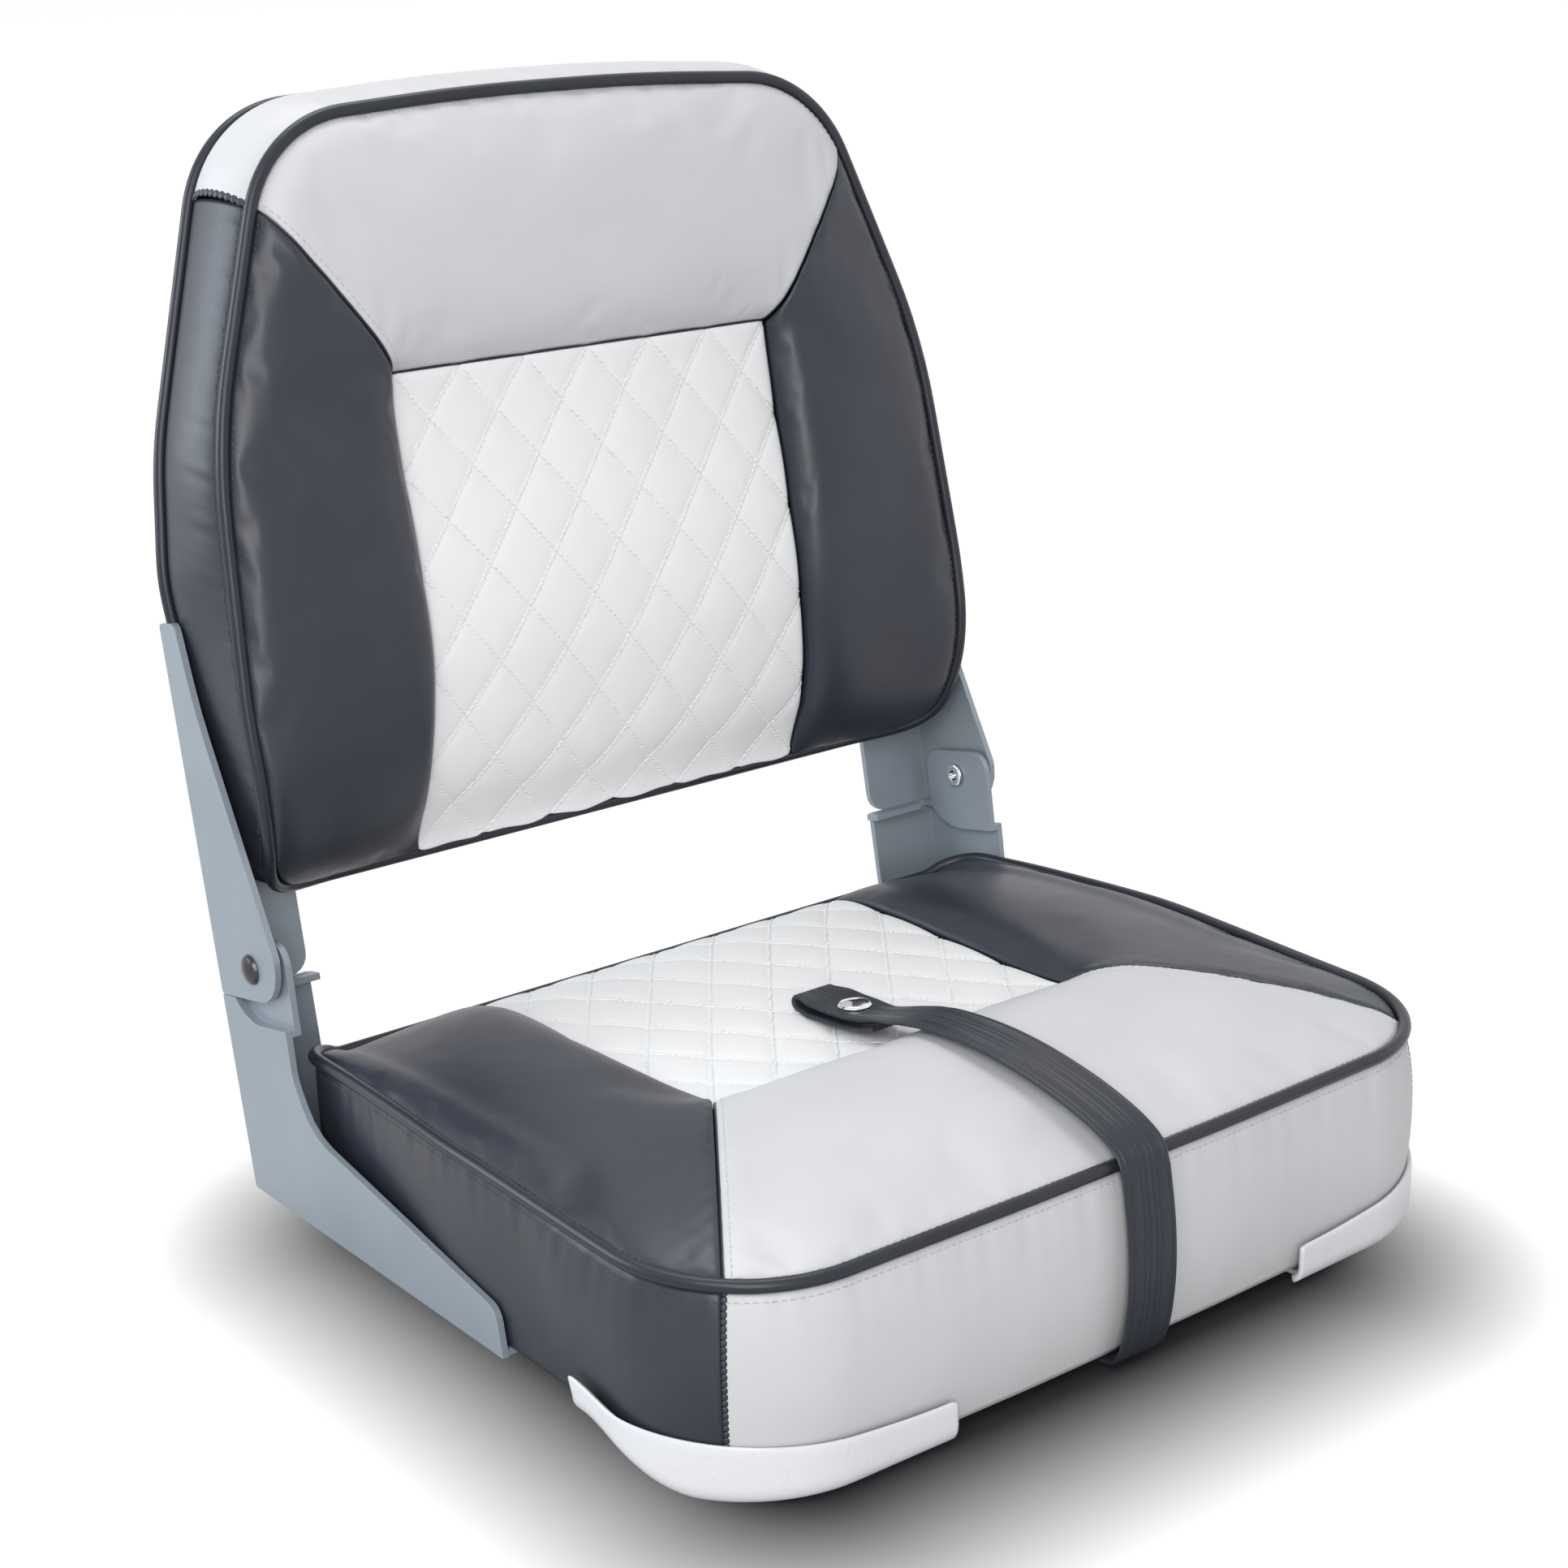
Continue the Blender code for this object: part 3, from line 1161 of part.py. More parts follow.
def rear_outline(side, inset=0):
    """Half of the back's rear outline, from the top's middle to the foot's middle."""
    corners = [
        (0, REAR_TOP_U, 0),
        (REAR_SHOULDER_HALF, REAR_SHOULDER_U, REAR_SHOULDER_CORNER),
        (REAR_BEND_HALF, REAR_BEND_U, BACK_BEND_BOW),
        (REAR_WAIST_HALF, REAR_WAIST_U, BACK_WAIST_BOW),
        (REAR_HEM_HALF, REAR_HEM_U, REAR_HEM_CORNER),
        (0, REAR_HEM_U, 0),
    ]
    half = Route(rounded(corners, closed=False)).inset(-inset)
    half.points[0].x = half.points[-1].x = 0
    return Route([(side * point.x, point.y) for point in half.points])


CURL_DEPTH = BACK_HEM_V - BACK_FRONT
CURL_HEIGHT = CURL_START_U - BACK_HEM_U
CURL_LENGTH = math.pi / 2 * math.sqrt((CURL_DEPTH ** 2 + CURL_HEIGHT ** 2) / 2)
HEM_P = CURL_START_U - CURL_LENGTH


def on_back(x, p, height):
    """A place on the back's face, which rolls under towards its hem, raised by a height."""
    if p >= CURL_START_U:
        return Vector((x, BACK_FRONT - height, p))
    turn = min((CURL_START_U - p) / CURL_LENGTH, 1) * math.pi / 2
    v = BACK_HEM_V - CURL_DEPTH * math.cos(turn)
    u = CURL_START_U - CURL_HEIGHT * math.sin(turn)
    normal = Vector((-CURL_HEIGHT * math.cos(turn), -CURL_DEPTH * math.sin(turn))).normalized()
    return Vector((x, v + normal.x * height, u + normal.y * height))


def back_marks(half):
    """Shares of a half outline: the head panel's seam and the hem at the centre panel."""
    seam = half.where(lambda point: point.y <= HEAD_SEAM_U)
    hem = half.where(lambda point: point.y < BACK_CENTER_TOP_U and abs(point.x) <= BACK_CENTER_HALF_FOOT)
    foot = half.where(lambda point: point.y <= HEM_P + BACK_HEM_CORNER / 3)
    return seam, foot, hem


def back_patches(inset, seam_gap, drop, quilted=True):
    """The crowned face of the back as four grids: centre, head, left and right bolster."""
    columns = QUILT_COLUMNS if quilted else PANEL_COLUMNS
    halves = {side: back_outline(side, inset) for side in (-1, 1)}
    seam, foot, hem = back_marks(halves[1])
    hem_p = halves[1].at(1).y
    top_p = BACK_CENTER_TOP_U
    half_top, half_foot = BACK_CENTER_HALF_TOP - seam_gap, BACK_CENTER_HALF_FOOT - seam_gap
    center = coons(Route([(-half_top, top_p - seam_gap), (half_top, top_p - seam_gap)]),
                   Route([(-half_foot, hem_p), (half_foot, hem_p)]),
                   Route([(-half_top, top_p - seam_gap), (-half_foot, hem_p)]),
                   Route([(half_top, top_p - seam_gap), (half_foot, hem_p)]), columns, BACK_QUILT_ROWS)
    patches = {"center": []}
    for row, line in enumerate(center):
        down = row / BACK_QUILT_ROWS
        heights = []
        for column, point in enumerate(line):
            height = blend(-BACK_SEAM_SINK, EDGE_LIFT, down)
            height += BACK_CENTER_CROWN * pillow(column / columns) * pillow(down)
            height -= quilt_sink(column, row, columns, BACK_QUILT_ROWS, quilted) + drop
            heights.append(on_back(point.x, point.y, height))
        patches["center"].append(heights)

    corner_in = Vector((BACK_CENTER_HALF_TOP, top_p))
    corner_out = halves[1].at(seam)
    aside = (corner_out - corner_in).normalized()
    aside = Vector((-aside.y, aside.x)) * seam_gap
    inner = {side: Vector((side * (corner_in.x + aside.x), corner_in.y + seam_gap)) for side in (-1, 1)}
    outer = {side: Vector((side * (corner_out.x + aside.x), corner_out.y + aside.y)) for side in (-1, 1)}
    edge = halves[-1].cut(seam, 0, ROUND_STEPS)
    edge += [Vector((-point.x, point.y)) for point in reversed(edge[:-1])]
    edge[0], edge[-1] = outer[-1], outer[1]
    grid = coons(Route([inner[-1], inner[1]]), Route(edge), Route([inner[-1], outer[-1]]),
                 Route([inner[1], outer[1]]), PANEL_COLUMNS, RING_ROWS)
    patches["head"] = [
        [on_back(point.x, point.y, blend(-BACK_SEAM_SINK, EDGE_LIFT, row / RING_ROWS) - drop
                 + BACK_CROWN * pillow(row / RING_ROWS) * valley(column / PANEL_COLUMNS))
         for column, point in enumerate(line)] for row, line in enumerate(grid)]

    for name, side in (("left", -1), ("right", 1)):
        outline = halves[side]
        top = Vector((side * (corner_in.x + seam_gap), corner_in.y - seam_gap))
        end = Vector((side * (corner_out.x - aside.x), corner_out.y - aside.y))
        bottom = Vector((side * (BACK_CENTER_HALF_FOOT + seam_gap), hem_p))
        back = outline.cut(hem, foot, SMALL_STEPS)
        back[0] = bottom
        flank = outline.cut(foot, seam, ROUND_STEPS * 2)
        flank[-1] = end
        grid = coons(Route([bottom, top]), Route(flank), Route(back), Route([top, end]),
                     BACK_QUILT_ROWS, RING_ROWS)
        rows = []
        for row, line in enumerate(grid):
            across = row / RING_ROWS
            heights = []
            for column, point in enumerate(line):
                along = column / BACK_QUILT_ROWS
                height = blend(blend(EDGE_LIFT, -BACK_SEAM_SINK, along), EDGE_LIFT, across)
                height += BACK_CROWN * pillow(across) * rise(along)
                if column == 0:
                    height = EDGE_LIFT
                heights.append(on_back(point.x, point.y, height - drop))
            rows.append(heights)
        patches[name] = rows
    return patches


def back_boxing(name, front_line, rear_line, bulge, look, axis):
    """A strip of boxing between matching places of the front and the rear outline."""
    rows = []
    hub = Vector((0, 0, BACK_BEND_U * 2 / 3))
    for step in range(BOXING_ROWS + 1):
        share = step / BOXING_ROWS
        line = []
        for front, rear in zip(front_line, rear_line):
            span = rear - front
            trim = (PIPE_RADIUS + COVER) / span.length
            spot = front.lerp(rear, blend(trim, 1 - trim, share))
            away = (front + rear) / 2 - hub
            away.y = 0
            line.append(spot + away.normalized() * bulge(spot.z) * pillow(share))
        rows.append(line)
    return thicken(add(name, surface(name, rows, hub), look, axis), COVER)


def build_back_cushion(axis):
    patches = back_patches(PIPE_INSET, GAP / 2, 0)
    hub = Vector((0, BACK_CENTER_TOP_U, BACK_CENTER_TOP_U * 2 / 3))
    looks = {"center": WHITE_VINYL, "head": GREY_VINYL, "left": CHARCOAL_VINYL, "right": CHARCOAL_VINYL}
    names = {"center": "back_center_panel", "head": "back_head_panel",
             "left": "back_bolster_left", "right": "back_bolster_right"}
    for key, rows in patches.items():
        slant = quilt_slant if key == "center" else None
        thicken(add(names[key], surface(names[key], rows, hub, slant), looks[key], axis), COVER)

    flat = {side: back_outline(side) for side in (-1, 1)}
    rear = {side: rear_outline(side) for side in (-1, 1)}
    seam, foot, hem = back_marks(flat[1])
    rear_seam = rear[1].where(lambda point: point.y <= HEAD_SEAM_U + REAR_TOP_RISE)
    rear_foot = rear[1].where(lambda point: point.y <= REAR_HEM_U + REAR_HEM_CORNER / 3)

    def front_points(side, shares):
        return [on_back(point.x, point.y, 0) for point in map(flat[side].at, shares)]

    def rear_points(side, shares):
        return [Vector((point.x, REAR_PIPING_V, point.y)) for point in map(rear[side].at, shares)]

    def matched(start, end, rear_start, rear_end):
        """Shares of the front outline's corners, and the shares of the rear outline that face them."""
        shares = flat[1].shares(start, end, LONG_STEP)
        return shares, [blend(rear_start, rear_end, (share - start) / (end - start)) for share in shares]

    around = flat[1].shares(0, 1, SHORT_STEP)
    loop = front_points(1, around) + front_points(-1, around[-2:0:-1])
    piping("back_front_piping", loop, DARK_PIPING, axis)
    around = rear[1].shares(0, 1, LONG_STEP)
    loop = rear_points(1, around) + rear_points(-1, around[-2:0:-1])
    piping("back_rear_piping", loop, DARK_PIPING, axis)

    slit = COVER / 4 / flat[1].marks[-1]
    ahead, behind = matched(0, seam - slit, 0, rear_seam - slit)
    top_front = front_points(-1, ahead[::-1]) + front_points(1, ahead)[1:]
    top_rear = rear_points(-1, behind[::-1]) + rear_points(1, behind)[1:]
    back_boxing("back_boxing_top", top_front, top_rear, lambda u: TOP_BOXING_BULGE, GREY_VINYL, axis)
    ahead, behind = matched(seam + slit, foot, rear_seam + slit, rear_foot)

    def side_bulge(u):
        return BACK_SIDE_BULGE * ease((u - BULGE_PRESSED_U) / (BULGE_FREE_U - BULGE_PRESSED_U))

    for name, side in (("back_boxing_left", -1), ("back_boxing_right", 1)):
        back_boxing(name, front_points(side, ahead), rear_points(side, behind), side_bulge,
                    CHARCOAL_VINYL, axis)

    block = back_patches(FOAM_INSET, 0, FOAM_DROP, quilted=False)
    foam_block("back_foam", block.values(), hub, (1, BOARD_FRONT_V - GAP), FOAM, axis)

    def rear_shape(inset):
        return rear_outline(1, inset).points + rear_outline(-1, inset).points[-2:0:-1]

    board = plate("back_board", rear_shape(BOARD_INSET), BOARD_FRONT_V, BOARD_REAR_V, UPRIGHT)
    cut(add("back_board", board, PAN_PLASTIC, axis), back_screw_holes(axis))
    cover = plate("back_rear_panel", rear_shape(PIPE_INSET), REAR_COVER_V, REAR_COVER_V + COVER, UPRIGHT)
    cut(add("back_rear_panel", cover, CHARCOAL_VINYL, axis), back_screw_holes(axis))


def build_back_hardware(axis):
    length = BRACKET_REAR_V - BOARD_FRONT_V - GAP
    add_each("upper_bracket_screw", screw_mesh(length), back_screw_places(), ZINC, axis)
    base = REAR_COVER_V + COVER + GAP
    neck = base + STUD_BASE
    head = base + STUD_HEIGHT
    profile = [(0, head), (STUD_HEAD_RADIUS * 2 / 3, head), (STUD_HEAD_RADIUS, head - STUD_BASE / 2),
               (STUD_HEAD_RADIUS, head - STUD_BASE), (STUD_NECK_RADIUS, neck + STUD_BASE / 2),
               (STUD_NECK_RADIUS, neck), (STUD_RADIUS, neck - STUD_BASE / 2), (STUD_RADIUS, base),
               (STUD_NECK_RADIUS, base), (STUD_NECK_RADIUS, BOARD_FRONT_V + GAP), (0, BOARD_FRONT_V + GAP)]
    stud = turned("snap_stud", profile, SMALL_STEPS)
    stud.transform(moved(0, 0, STUD_U) @ Matrix.Rotation(-math.pi / 2, 4, "X"))
    add("snap_stud", stud, CHROME, axis)


# Hold-down strap

def strap_piece(name, line, axis=None, start_cut=0, end_cut=0):
    """A flat strap along a line of depths and heights."""
    route = Route(line)
    trimmed = route.cut(start_cut / route.marks[-1], 1 - end_cut / route.marks[-1], len(line) - 1)
    origin = axis.location if axis else Vector((0, 0, 0))
    half = STRAP_WIDTH / 2
    rows = [[Vector((x, point.x, point.y)) - origin for point in trimmed] for x in (-half, half)]
    mesh = surface(name, rows, Vector((0, 0, 0)) - origin)
    return thicken(add(name, mesh, CHARCOAL_VINYL, axis), STRAP, 0)


def strap_hinge(line):
    """The place on the strap's outer face where a line starts."""
    along = (Vector(line[1]) - Vector(line[0])).normalized()
    return Vector(line[0]) + Vector((-along.y, along.x)) * STRAP / 2


def build_strap():
    lower = smooth_line(STRAP_LOWER_LINE, STRAP_POINT_STEP)
    middle = smooth_line(STRAP_MIDDLE_LINE, STRAP_POINT_STEP)
    tip = smooth_line(STRAP_TIP_LINE, STRAP_POINT_STEP)
    turn = Vector(STRAP_TIP_LINE[-1]) - Vector((0, STRAP_FOLD))
    fold = [turn + Matrix.Rotation(-math.pi * step / 6, 2) @ Vector((0, STRAP_FOLD)) for step in range(1, 6)]
    tip += fold + smooth_line(STRAP_RETURN_LINE, STRAP_POINT_STEP)

    swing_place, tip_place = strap_hinge(middle), strap_hinge(tip)
    swing = axis_empty("strap_swing_axis", (0, swing_place.x, swing_place.y))
    curl = axis_empty("strap_tip_axis", (0, tip_place.x, tip_place.y))
    foot = strap_piece("strap_lower", lower, None, 0, GAP / 2)
    hole = rod(SCREW_HOLE_RADIUS, 0, PAN_RIM_Z)
    hole.transform(moved(0, STRAP_SCREW_Y, -CUT_OVERRUN))
    cut(foot, cutter("strap_screw_hole", hole))
    strap_piece("strap_middle", middle, swing, GAP / 2, GAP / 2)
    end = strap_piece("strap_tip", tip, curl, GAP / 2, 0)

    upper, below = Vector(STRAP_TIP_LINE[SNAP_UPPER]), Vector(STRAP_RETURN_LINE[SNAP_BELOW])
    slope = Vector(STRAP_TIP_LINE[SNAP_UPPER + 1]) - Vector(STRAP_TIP_LINE[SNAP_UPPER - 1])
    place = moved(0, upper.x, upper.y) @ Matrix.Rotation(math.atan2(slope.y, slope.x), 4, "X")
    place = curl.matrix_world.inverted() @ place
    seat = STRAP / 2 + GAP
    foot = below.y - upper.y - seat
    hole = rod(SNAP_POST_RADIUS + GAP, foot - STRAP, seat + STRAP, SMALL_STEPS)
    hole.transform(place)
    cut(end, cutter("snap_hole", hole, curl))
    socket_foot = foot - SNAP_SOCKET_HEIGHT
    profile = [(0, seat + SNAP_CAP_HEIGHT), (SNAP_CAP_RADIUS / 2, seat + SNAP_CAP_HEIGHT * 7 / 8),
               (SNAP_CAP_RADIUS * 7 / 8, seat + SNAP_CAP_HEIGHT / 2), (SNAP_CAP_RADIUS, seat),
               (SNAP_POST_RADIUS, seat), (SNAP_POST_RADIUS, socket_foot), (0, socket_foot)]
    cap = turned("snap_cap", profile)
    cap.transform(place)
    add("snap_cap", cap, CHROME, curl)
    bore = SNAP_POST_RADIUS + GAP
    ring = turned("snap_socket", [(bore, foot), (SNAP_SOCKET_RADIUS, foot), (SNAP_SOCKET_RADIUS, socket_foot),
                                  (bore, socket_foot), (bore, foot)])
    ring.transform(place)
    add("snap_socket", ring, CHROME, curl)

    head_z = STRAP_LOWER_LINE[0][1] - STRAP / 2 - GAP
    screw = screw_mesh(PAN_RIM_Z - head_z)
    screw.transform(moved(0, STRAP_SCREW_Y, head_z))
    add("strap_screw", screw, ZINC)


build_pan()
build_pan_hardware()
build_seat_cushion()
build_guard("corner_guard_left", -1)
build_guard("corner_guard_right", 1)
build_guard_screws()
build_lower_bracket("lower_bracket_left", -1)
build_lower_bracket("lower_bracket_right", 1)
build_hinge(-1, "pivot_rivet_left")
build_hinge(1, "pivot_rivet_right")
build_washers()
fold_axis = axis_empty("fold_axis", (0, PIVOT_Y, PIVOT_Z), -LEAN)
build_back_cushion(fold_axis)
build_upper_bracket("upper_bracket_left", -1, fold_axis)
build_upper_bracket("upper_bracket_right", 1, fold_axis)
build_back_hardware(fold_axis)
build_strap()
bpy.context.view_layer.update()
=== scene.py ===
"""Looks of the folding boat seat: sewn vinyl covers, welts, stitches, coated steel and chrome.

Metres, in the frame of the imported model. The seat faces -Y and the left side is -X.
"""

import json
import math

import bmesh
import bpy
import numpy as np
from mathutils import Matrix, Vector


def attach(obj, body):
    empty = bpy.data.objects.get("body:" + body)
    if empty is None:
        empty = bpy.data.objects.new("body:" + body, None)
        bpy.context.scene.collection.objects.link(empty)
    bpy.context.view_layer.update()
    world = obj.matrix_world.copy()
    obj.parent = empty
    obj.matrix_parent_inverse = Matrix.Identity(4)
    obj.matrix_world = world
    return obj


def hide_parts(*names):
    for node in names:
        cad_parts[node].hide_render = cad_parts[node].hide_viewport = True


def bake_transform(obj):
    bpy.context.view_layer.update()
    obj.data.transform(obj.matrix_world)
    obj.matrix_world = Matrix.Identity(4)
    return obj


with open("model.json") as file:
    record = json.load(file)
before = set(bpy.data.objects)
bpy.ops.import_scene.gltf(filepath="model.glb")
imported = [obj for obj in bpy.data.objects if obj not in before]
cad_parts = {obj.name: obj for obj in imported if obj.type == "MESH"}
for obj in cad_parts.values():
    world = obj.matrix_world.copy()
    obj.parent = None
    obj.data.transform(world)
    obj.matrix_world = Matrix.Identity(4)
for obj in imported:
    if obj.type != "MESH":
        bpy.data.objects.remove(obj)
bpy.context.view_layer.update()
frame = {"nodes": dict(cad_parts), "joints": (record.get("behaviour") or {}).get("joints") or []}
nodes = frame["nodes"]

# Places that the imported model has
PIVOT_Y, PIVOT_Z = frame["joints"][0]["pos_m"][1:]
LEAN = math.radians(10.8)
PIPE_RADIUS = 0.0028
BACK_FRONT = -0.0215
CURL_START_U, BACK_HEM_U, BACK_HEM_V = 0.095, 0.028, 0.0185
CURL_DEPTH = BACK_HEM_V - BACK_FRONT
CURL_HEIGHT = CURL_START_U - BACK_HEM_U
CURL_LENGTH = math.pi / 2 * math.sqrt((CURL_DEPTH ** 2 + CURL_HEIGHT ** 2) / 2)
HEM_P = CURL_START_U - CURL_LENGTH
REAR_PIPING_V = 0.0250
FOOT_Z, FOOT_FRONT_Z = 0.0206, 0.0078

# Sizes of the sewn covers: a seam is how deep its covers dip to it and over which reach
COVER = 0.0012
SEAM = 0.0004
EDGE = PIPE_RADIUS - 0.0006
INNER_SEAM, WELT_SEAM = (0.0010, 0.0012), (0.0022, 0.0022)
SEAT_CROWN, SEAT_CROWN_MIDDLE = 0.0163, 0.0185
BACK_CROWN, BACK_CROWN_MIDDLE = 0.0136, 0.0150
PUCKER, WIDE_PUCKER = 0.00022, 0.00030
QUILT_REACH, QUILT_DEPTH, QUILT_ACROSS, SEAT_QUILT_DOWN, BACK_QUILT_DOWN = 0.05, 0.0005, 6, 4, 5
SEWN_SLIT = 0.0003

# Corners of the seat's and the back's outlines
SEAT_REAR_Y, SEAT_FRONT_Y, SEAT_SIDE, FRONT_CORNER = 0.156, -0.1612, 0.2024, 0.062
BACK_TOP, BACK_SEAM_P = 0.3563, 0.3165
REAR_TOP, REAR_SEAM_U, REAR_FOOT_U, REAR_FOOT_ROUND = 0.3658, 0.3245, 0.029, 0.035

# How a cover is simulated: frames, weight, stiffness, looseness, the foam's push and the most it may move
CLOTH_FRAMES, CLOTH_MASS, CLOTH_STIFFNESS, CLOTH_BEND = 20, 0.3, 40.0, 4.0
CLOTH_SLACK, CLOTH_PRESSURE, CLOTH_LIMIT = 0.0018, 1.0, 0.0015

# The seat's rim from the rear to the front: y and height
RIM = [(0.1560, 0.0785), (0.1530, 0.0830), (0.1430, 0.0868), (0.1250, 0.0885), (0.0980, 0.0905),
       (0.0540, 0.0925), (0.0190, 0.0933), (-0.0200, 0.0928), (-0.0750, 0.0914), (-0.1450, 0.0903),
       (-0.1615, 0.0903)]

# The seam between the seat's middle and a bolster: half width, y and height
SEAT_SEAM = [(0.1054, 0.1538, 0.0795), (0.1052, 0.1500, 0.0828), (0.1045, 0.1400, 0.0857),
             (0.1036, 0.1280, 0.0877), (0.1024, 0.1100, 0.0891), (0.1016, 0.0600, 0.0894),
             (0.1005, 0.0200, 0.0898), (0.0995, -0.0050, 0.0908), (0.0990, -0.0215, 0.0930)]

# The seam between the back's middle and a bolster: half width, depth and height in the leaning frame
BACK_SEAM = [(0.1019, -0.0180, 0.2410), (0.1029, -0.0155, 0.2250), (0.1030, -0.0157, 0.2000),
             (0.1028, -0.0173, 0.1650), (0.1030, -0.0173, 0.1350), (0.1037, -0.0155, 0.1130),
             (0.1052, -0.0105, 0.0910), (0.1072, -0.0045, 0.0720), (0.1082, 0.0020, 0.0580),
             (0.1085, 0.0098, 0.0460), (0.1085, 0.0150, 0.0360), (0.1085, 0.0163, 0.0282)]


# Settings and numbers

def put(thing, **settings):
    for key, value in settings.items():
        setattr(thing, key, value)
    return thing


def mix(a, b, share):
    return a + (b - a) * share


def ease(share):
    share = np.clip(share, 0, 1)
    return share * share * (3 - 2 * share)


def pillow(share, power=2.2):
    return 1 - np.abs(2 * share - 1) ** power


def unit(vectors):
    """The same directions, each one long."""
    return vectors / np.maximum(np.linalg.norm(vectors, axis=-1, keepdims=True), 1e-12)


class Line:
    """A line through points, read by shares of its length."""

    def __init__(self, points):
        self.points = np.array(points, float)
        steps = np.linalg.norm(np.diff(self.points, axis=0), axis=1)
        self.marks = np.concatenate(([0], np.cumsum(steps)))
        self.length = self.marks[-1]

    def at(self, shares):
        goal = np.clip(shares, 0, 1) * self.length
        return np.stack([np.interp(goal, self.marks, column) for column in self.points.T], -1)

    def where(self, test):
        shares = np.linspace(0, 1, 20001)
        return shares[np.argmax(test(self.at(shares)))]

    def inset(self, distance):
        ahead = unit(np.gradient(self.points, axis=0))
        return Line(self.points + np.stack([-ahead[:, 1], ahead[:, 0]], 1) * distance)


def rounded(corners, step=math.radians(4)):
    """Points of an open outline from corners, each an across, an up and a radius."""
    points = []
    for index, (across, up, radius) in enumerate(corners):
        corner = Vector((across, up))
        if radius == 0 or index in (0, len(corners) - 1):
            points.append(corner)
            continue
        back = (Vector(corners[index - 1][:2]) - corner).normalized()
        ahead = (Vector(corners[index + 1][:2]) - corner).normalized()
        half = back.angle(ahead) / 2
        center = corner + (back + ahead).normalized() * radius / math.sin(half)
        arm = corner + back * radius / math.tan(half) - center
        turn = math.pi - 2 * half
        if back.x * ahead.y - back.y * ahead.x > 0:
            turn = -turn
        count = max(6, math.ceil(abs(turn) / step))
        for part in range(count + 1):
            points.append(center + Matrix.Rotation(turn * part / count, 2) @ arm)
    return [tuple(point) for point in points]


def smooth(points, step=0.0015):
    """A soft curve through places, read at even steps."""
    places = np.array(points, float)
    ends = np.vstack([2 * places[0] - places[1], places, 2 * places[-1] - places[-2]])
    fine = []
    for i in range(1, len(ends) - 2):
        a, b, c, d = ends[i - 1:i + 3]
        for t in np.arange(0, 1, 1 / 24):
            fine.append((2 * b + (c - a) * t + (2 * a - 5 * b + 4 * c - d) * t ** 2
                         + (3 * b - a - 3 * c + d) * t ** 3) / 2)
    fine.append(places[-1])
    line = Line(fine)
    return Line(line.at(np.linspace(0, 1, max(4, round(line.length / step)) + 1)))


def coons(foot, head, start, end, columns, rows):
    """Flat points inside four joined edges, rows by columns."""
    shares_u, shares_v = np.linspace(0, 1, columns + 1), np.linspace(0, 1, rows + 1)
    u, v = shares_u[None, :, None], shares_v[:, None, None]
    foot_at, head_at = foot.at(shares_u)[None], head.at(shares_u)[None]
    start_at, end_at = start.at(shares_v)[:, None], end.at(shares_v)[:, None]
    a, b, c, d = foot.at(0), foot.at(1), head.at(0), head.at(1)
    ruled = foot_at * (1 - v) + head_at * v + start_at * (1 - u) + end_at * u
    return ruled - a * (1 - u) * (1 - v) - b * u * (1 - v) - c * (1 - u) * v - d * u * v


# The model's outlines

def half_outline(corners, side, inset):
    half = Line(rounded(corners)).inset(-inset)
    half.points[0, 0] = half.points[-1, 0] = 0
    return Line(half.points * np.array([side, 1]))


def seat_outline(side, inset=0.0, corner=FRONT_CORNER):
    return half_outline([(0, SEAT_REAR_Y, 0), (0.1905, SEAT_REAR_Y, 0.024), (0.2022, 0.020, 0.30),
                         (SEAT_SIDE, -0.1580, corner), (0.0500, SEAT_FRONT_Y, 1.0), (0, SEAT_FRONT_Y, 0)],
                        side, inset)


def back_outline(side, inset=0.0):
    foot = HEM_P + inset * 1.25
    return half_outline([(0, BACK_TOP, 0), (0.0450, BACK_TOP, 1.2), (0.1460, 0.3505, 0.057),
                         (0.1908, 0.222, 0.25), (0.1990, 0.092, 0.30), (0.1860, foot, 0.045), (0, foot, 0)],
                        side, inset)


def rear_outline(side, inset=0.0):
    return half_outline([(0, REAR_TOP, 0), (0.0450, REAR_TOP, 1.2), (0.1500, 0.360, 0.058),
                         (0.1950, 0.222, 0.20), (0.2030, 0.168, 0.10), (0.1984, 0.100, 0.15),
                         (0.1978, REAR_FOOT_U, REAR_FOOT_ROUND), (0, REAR_FOOT_U, 0)], side, inset)


def rim_z(y):
    places = smooth(RIM).points[::-1]
    return np.interp(y, places[:, 0], places[:, 1])


def crown(share, inner, outer, slope):
    """Cross-section of a stuffed panel: it climbs fast from its inner seam and leans to its outer edge."""
    lift = (1 - np.exp(-share / inner)) * (1 - np.exp(-(1 - share) / outer)) * (1 - slope * share)
    ends = 1 - np.exp(-1 / inner)
    return np.where((share <= 0) | (share >= 1), 0, lift) / ends


def seat_crown(share):
    return crown(share, 0.10, 0.22, 0.35)


def back_crown(share):
    return crown(share, 0.085, 0.10, 0.25)


def on_back(x, p, height):
    """Places on the back's face, in the hinge's leaning frame."""
    turn = np.clip((CURL_START_U - p) / CURL_LENGTH, 0, 1) * math.pi / 2
    v = BACK_HEM_V - CURL_DEPTH * np.cos(turn)
    u = np.where(p >= CURL_START_U, p, CURL_START_U - CURL_HEIGHT * np.sin(turn))
    normal = unit(np.stack([-CURL_HEIGHT * np.cos(turn), -CURL_DEPTH * np.sin(turn)], -1))
    return np.stack([x + 0 * v, v + normal[..., 0] * height, u + normal[..., 1] * height], -1)


LEANING = Matrix.Translation((0, PIVOT_Y, PIVOT_Z)) @ Matrix.Rotation(-LEAN, 4, "X")


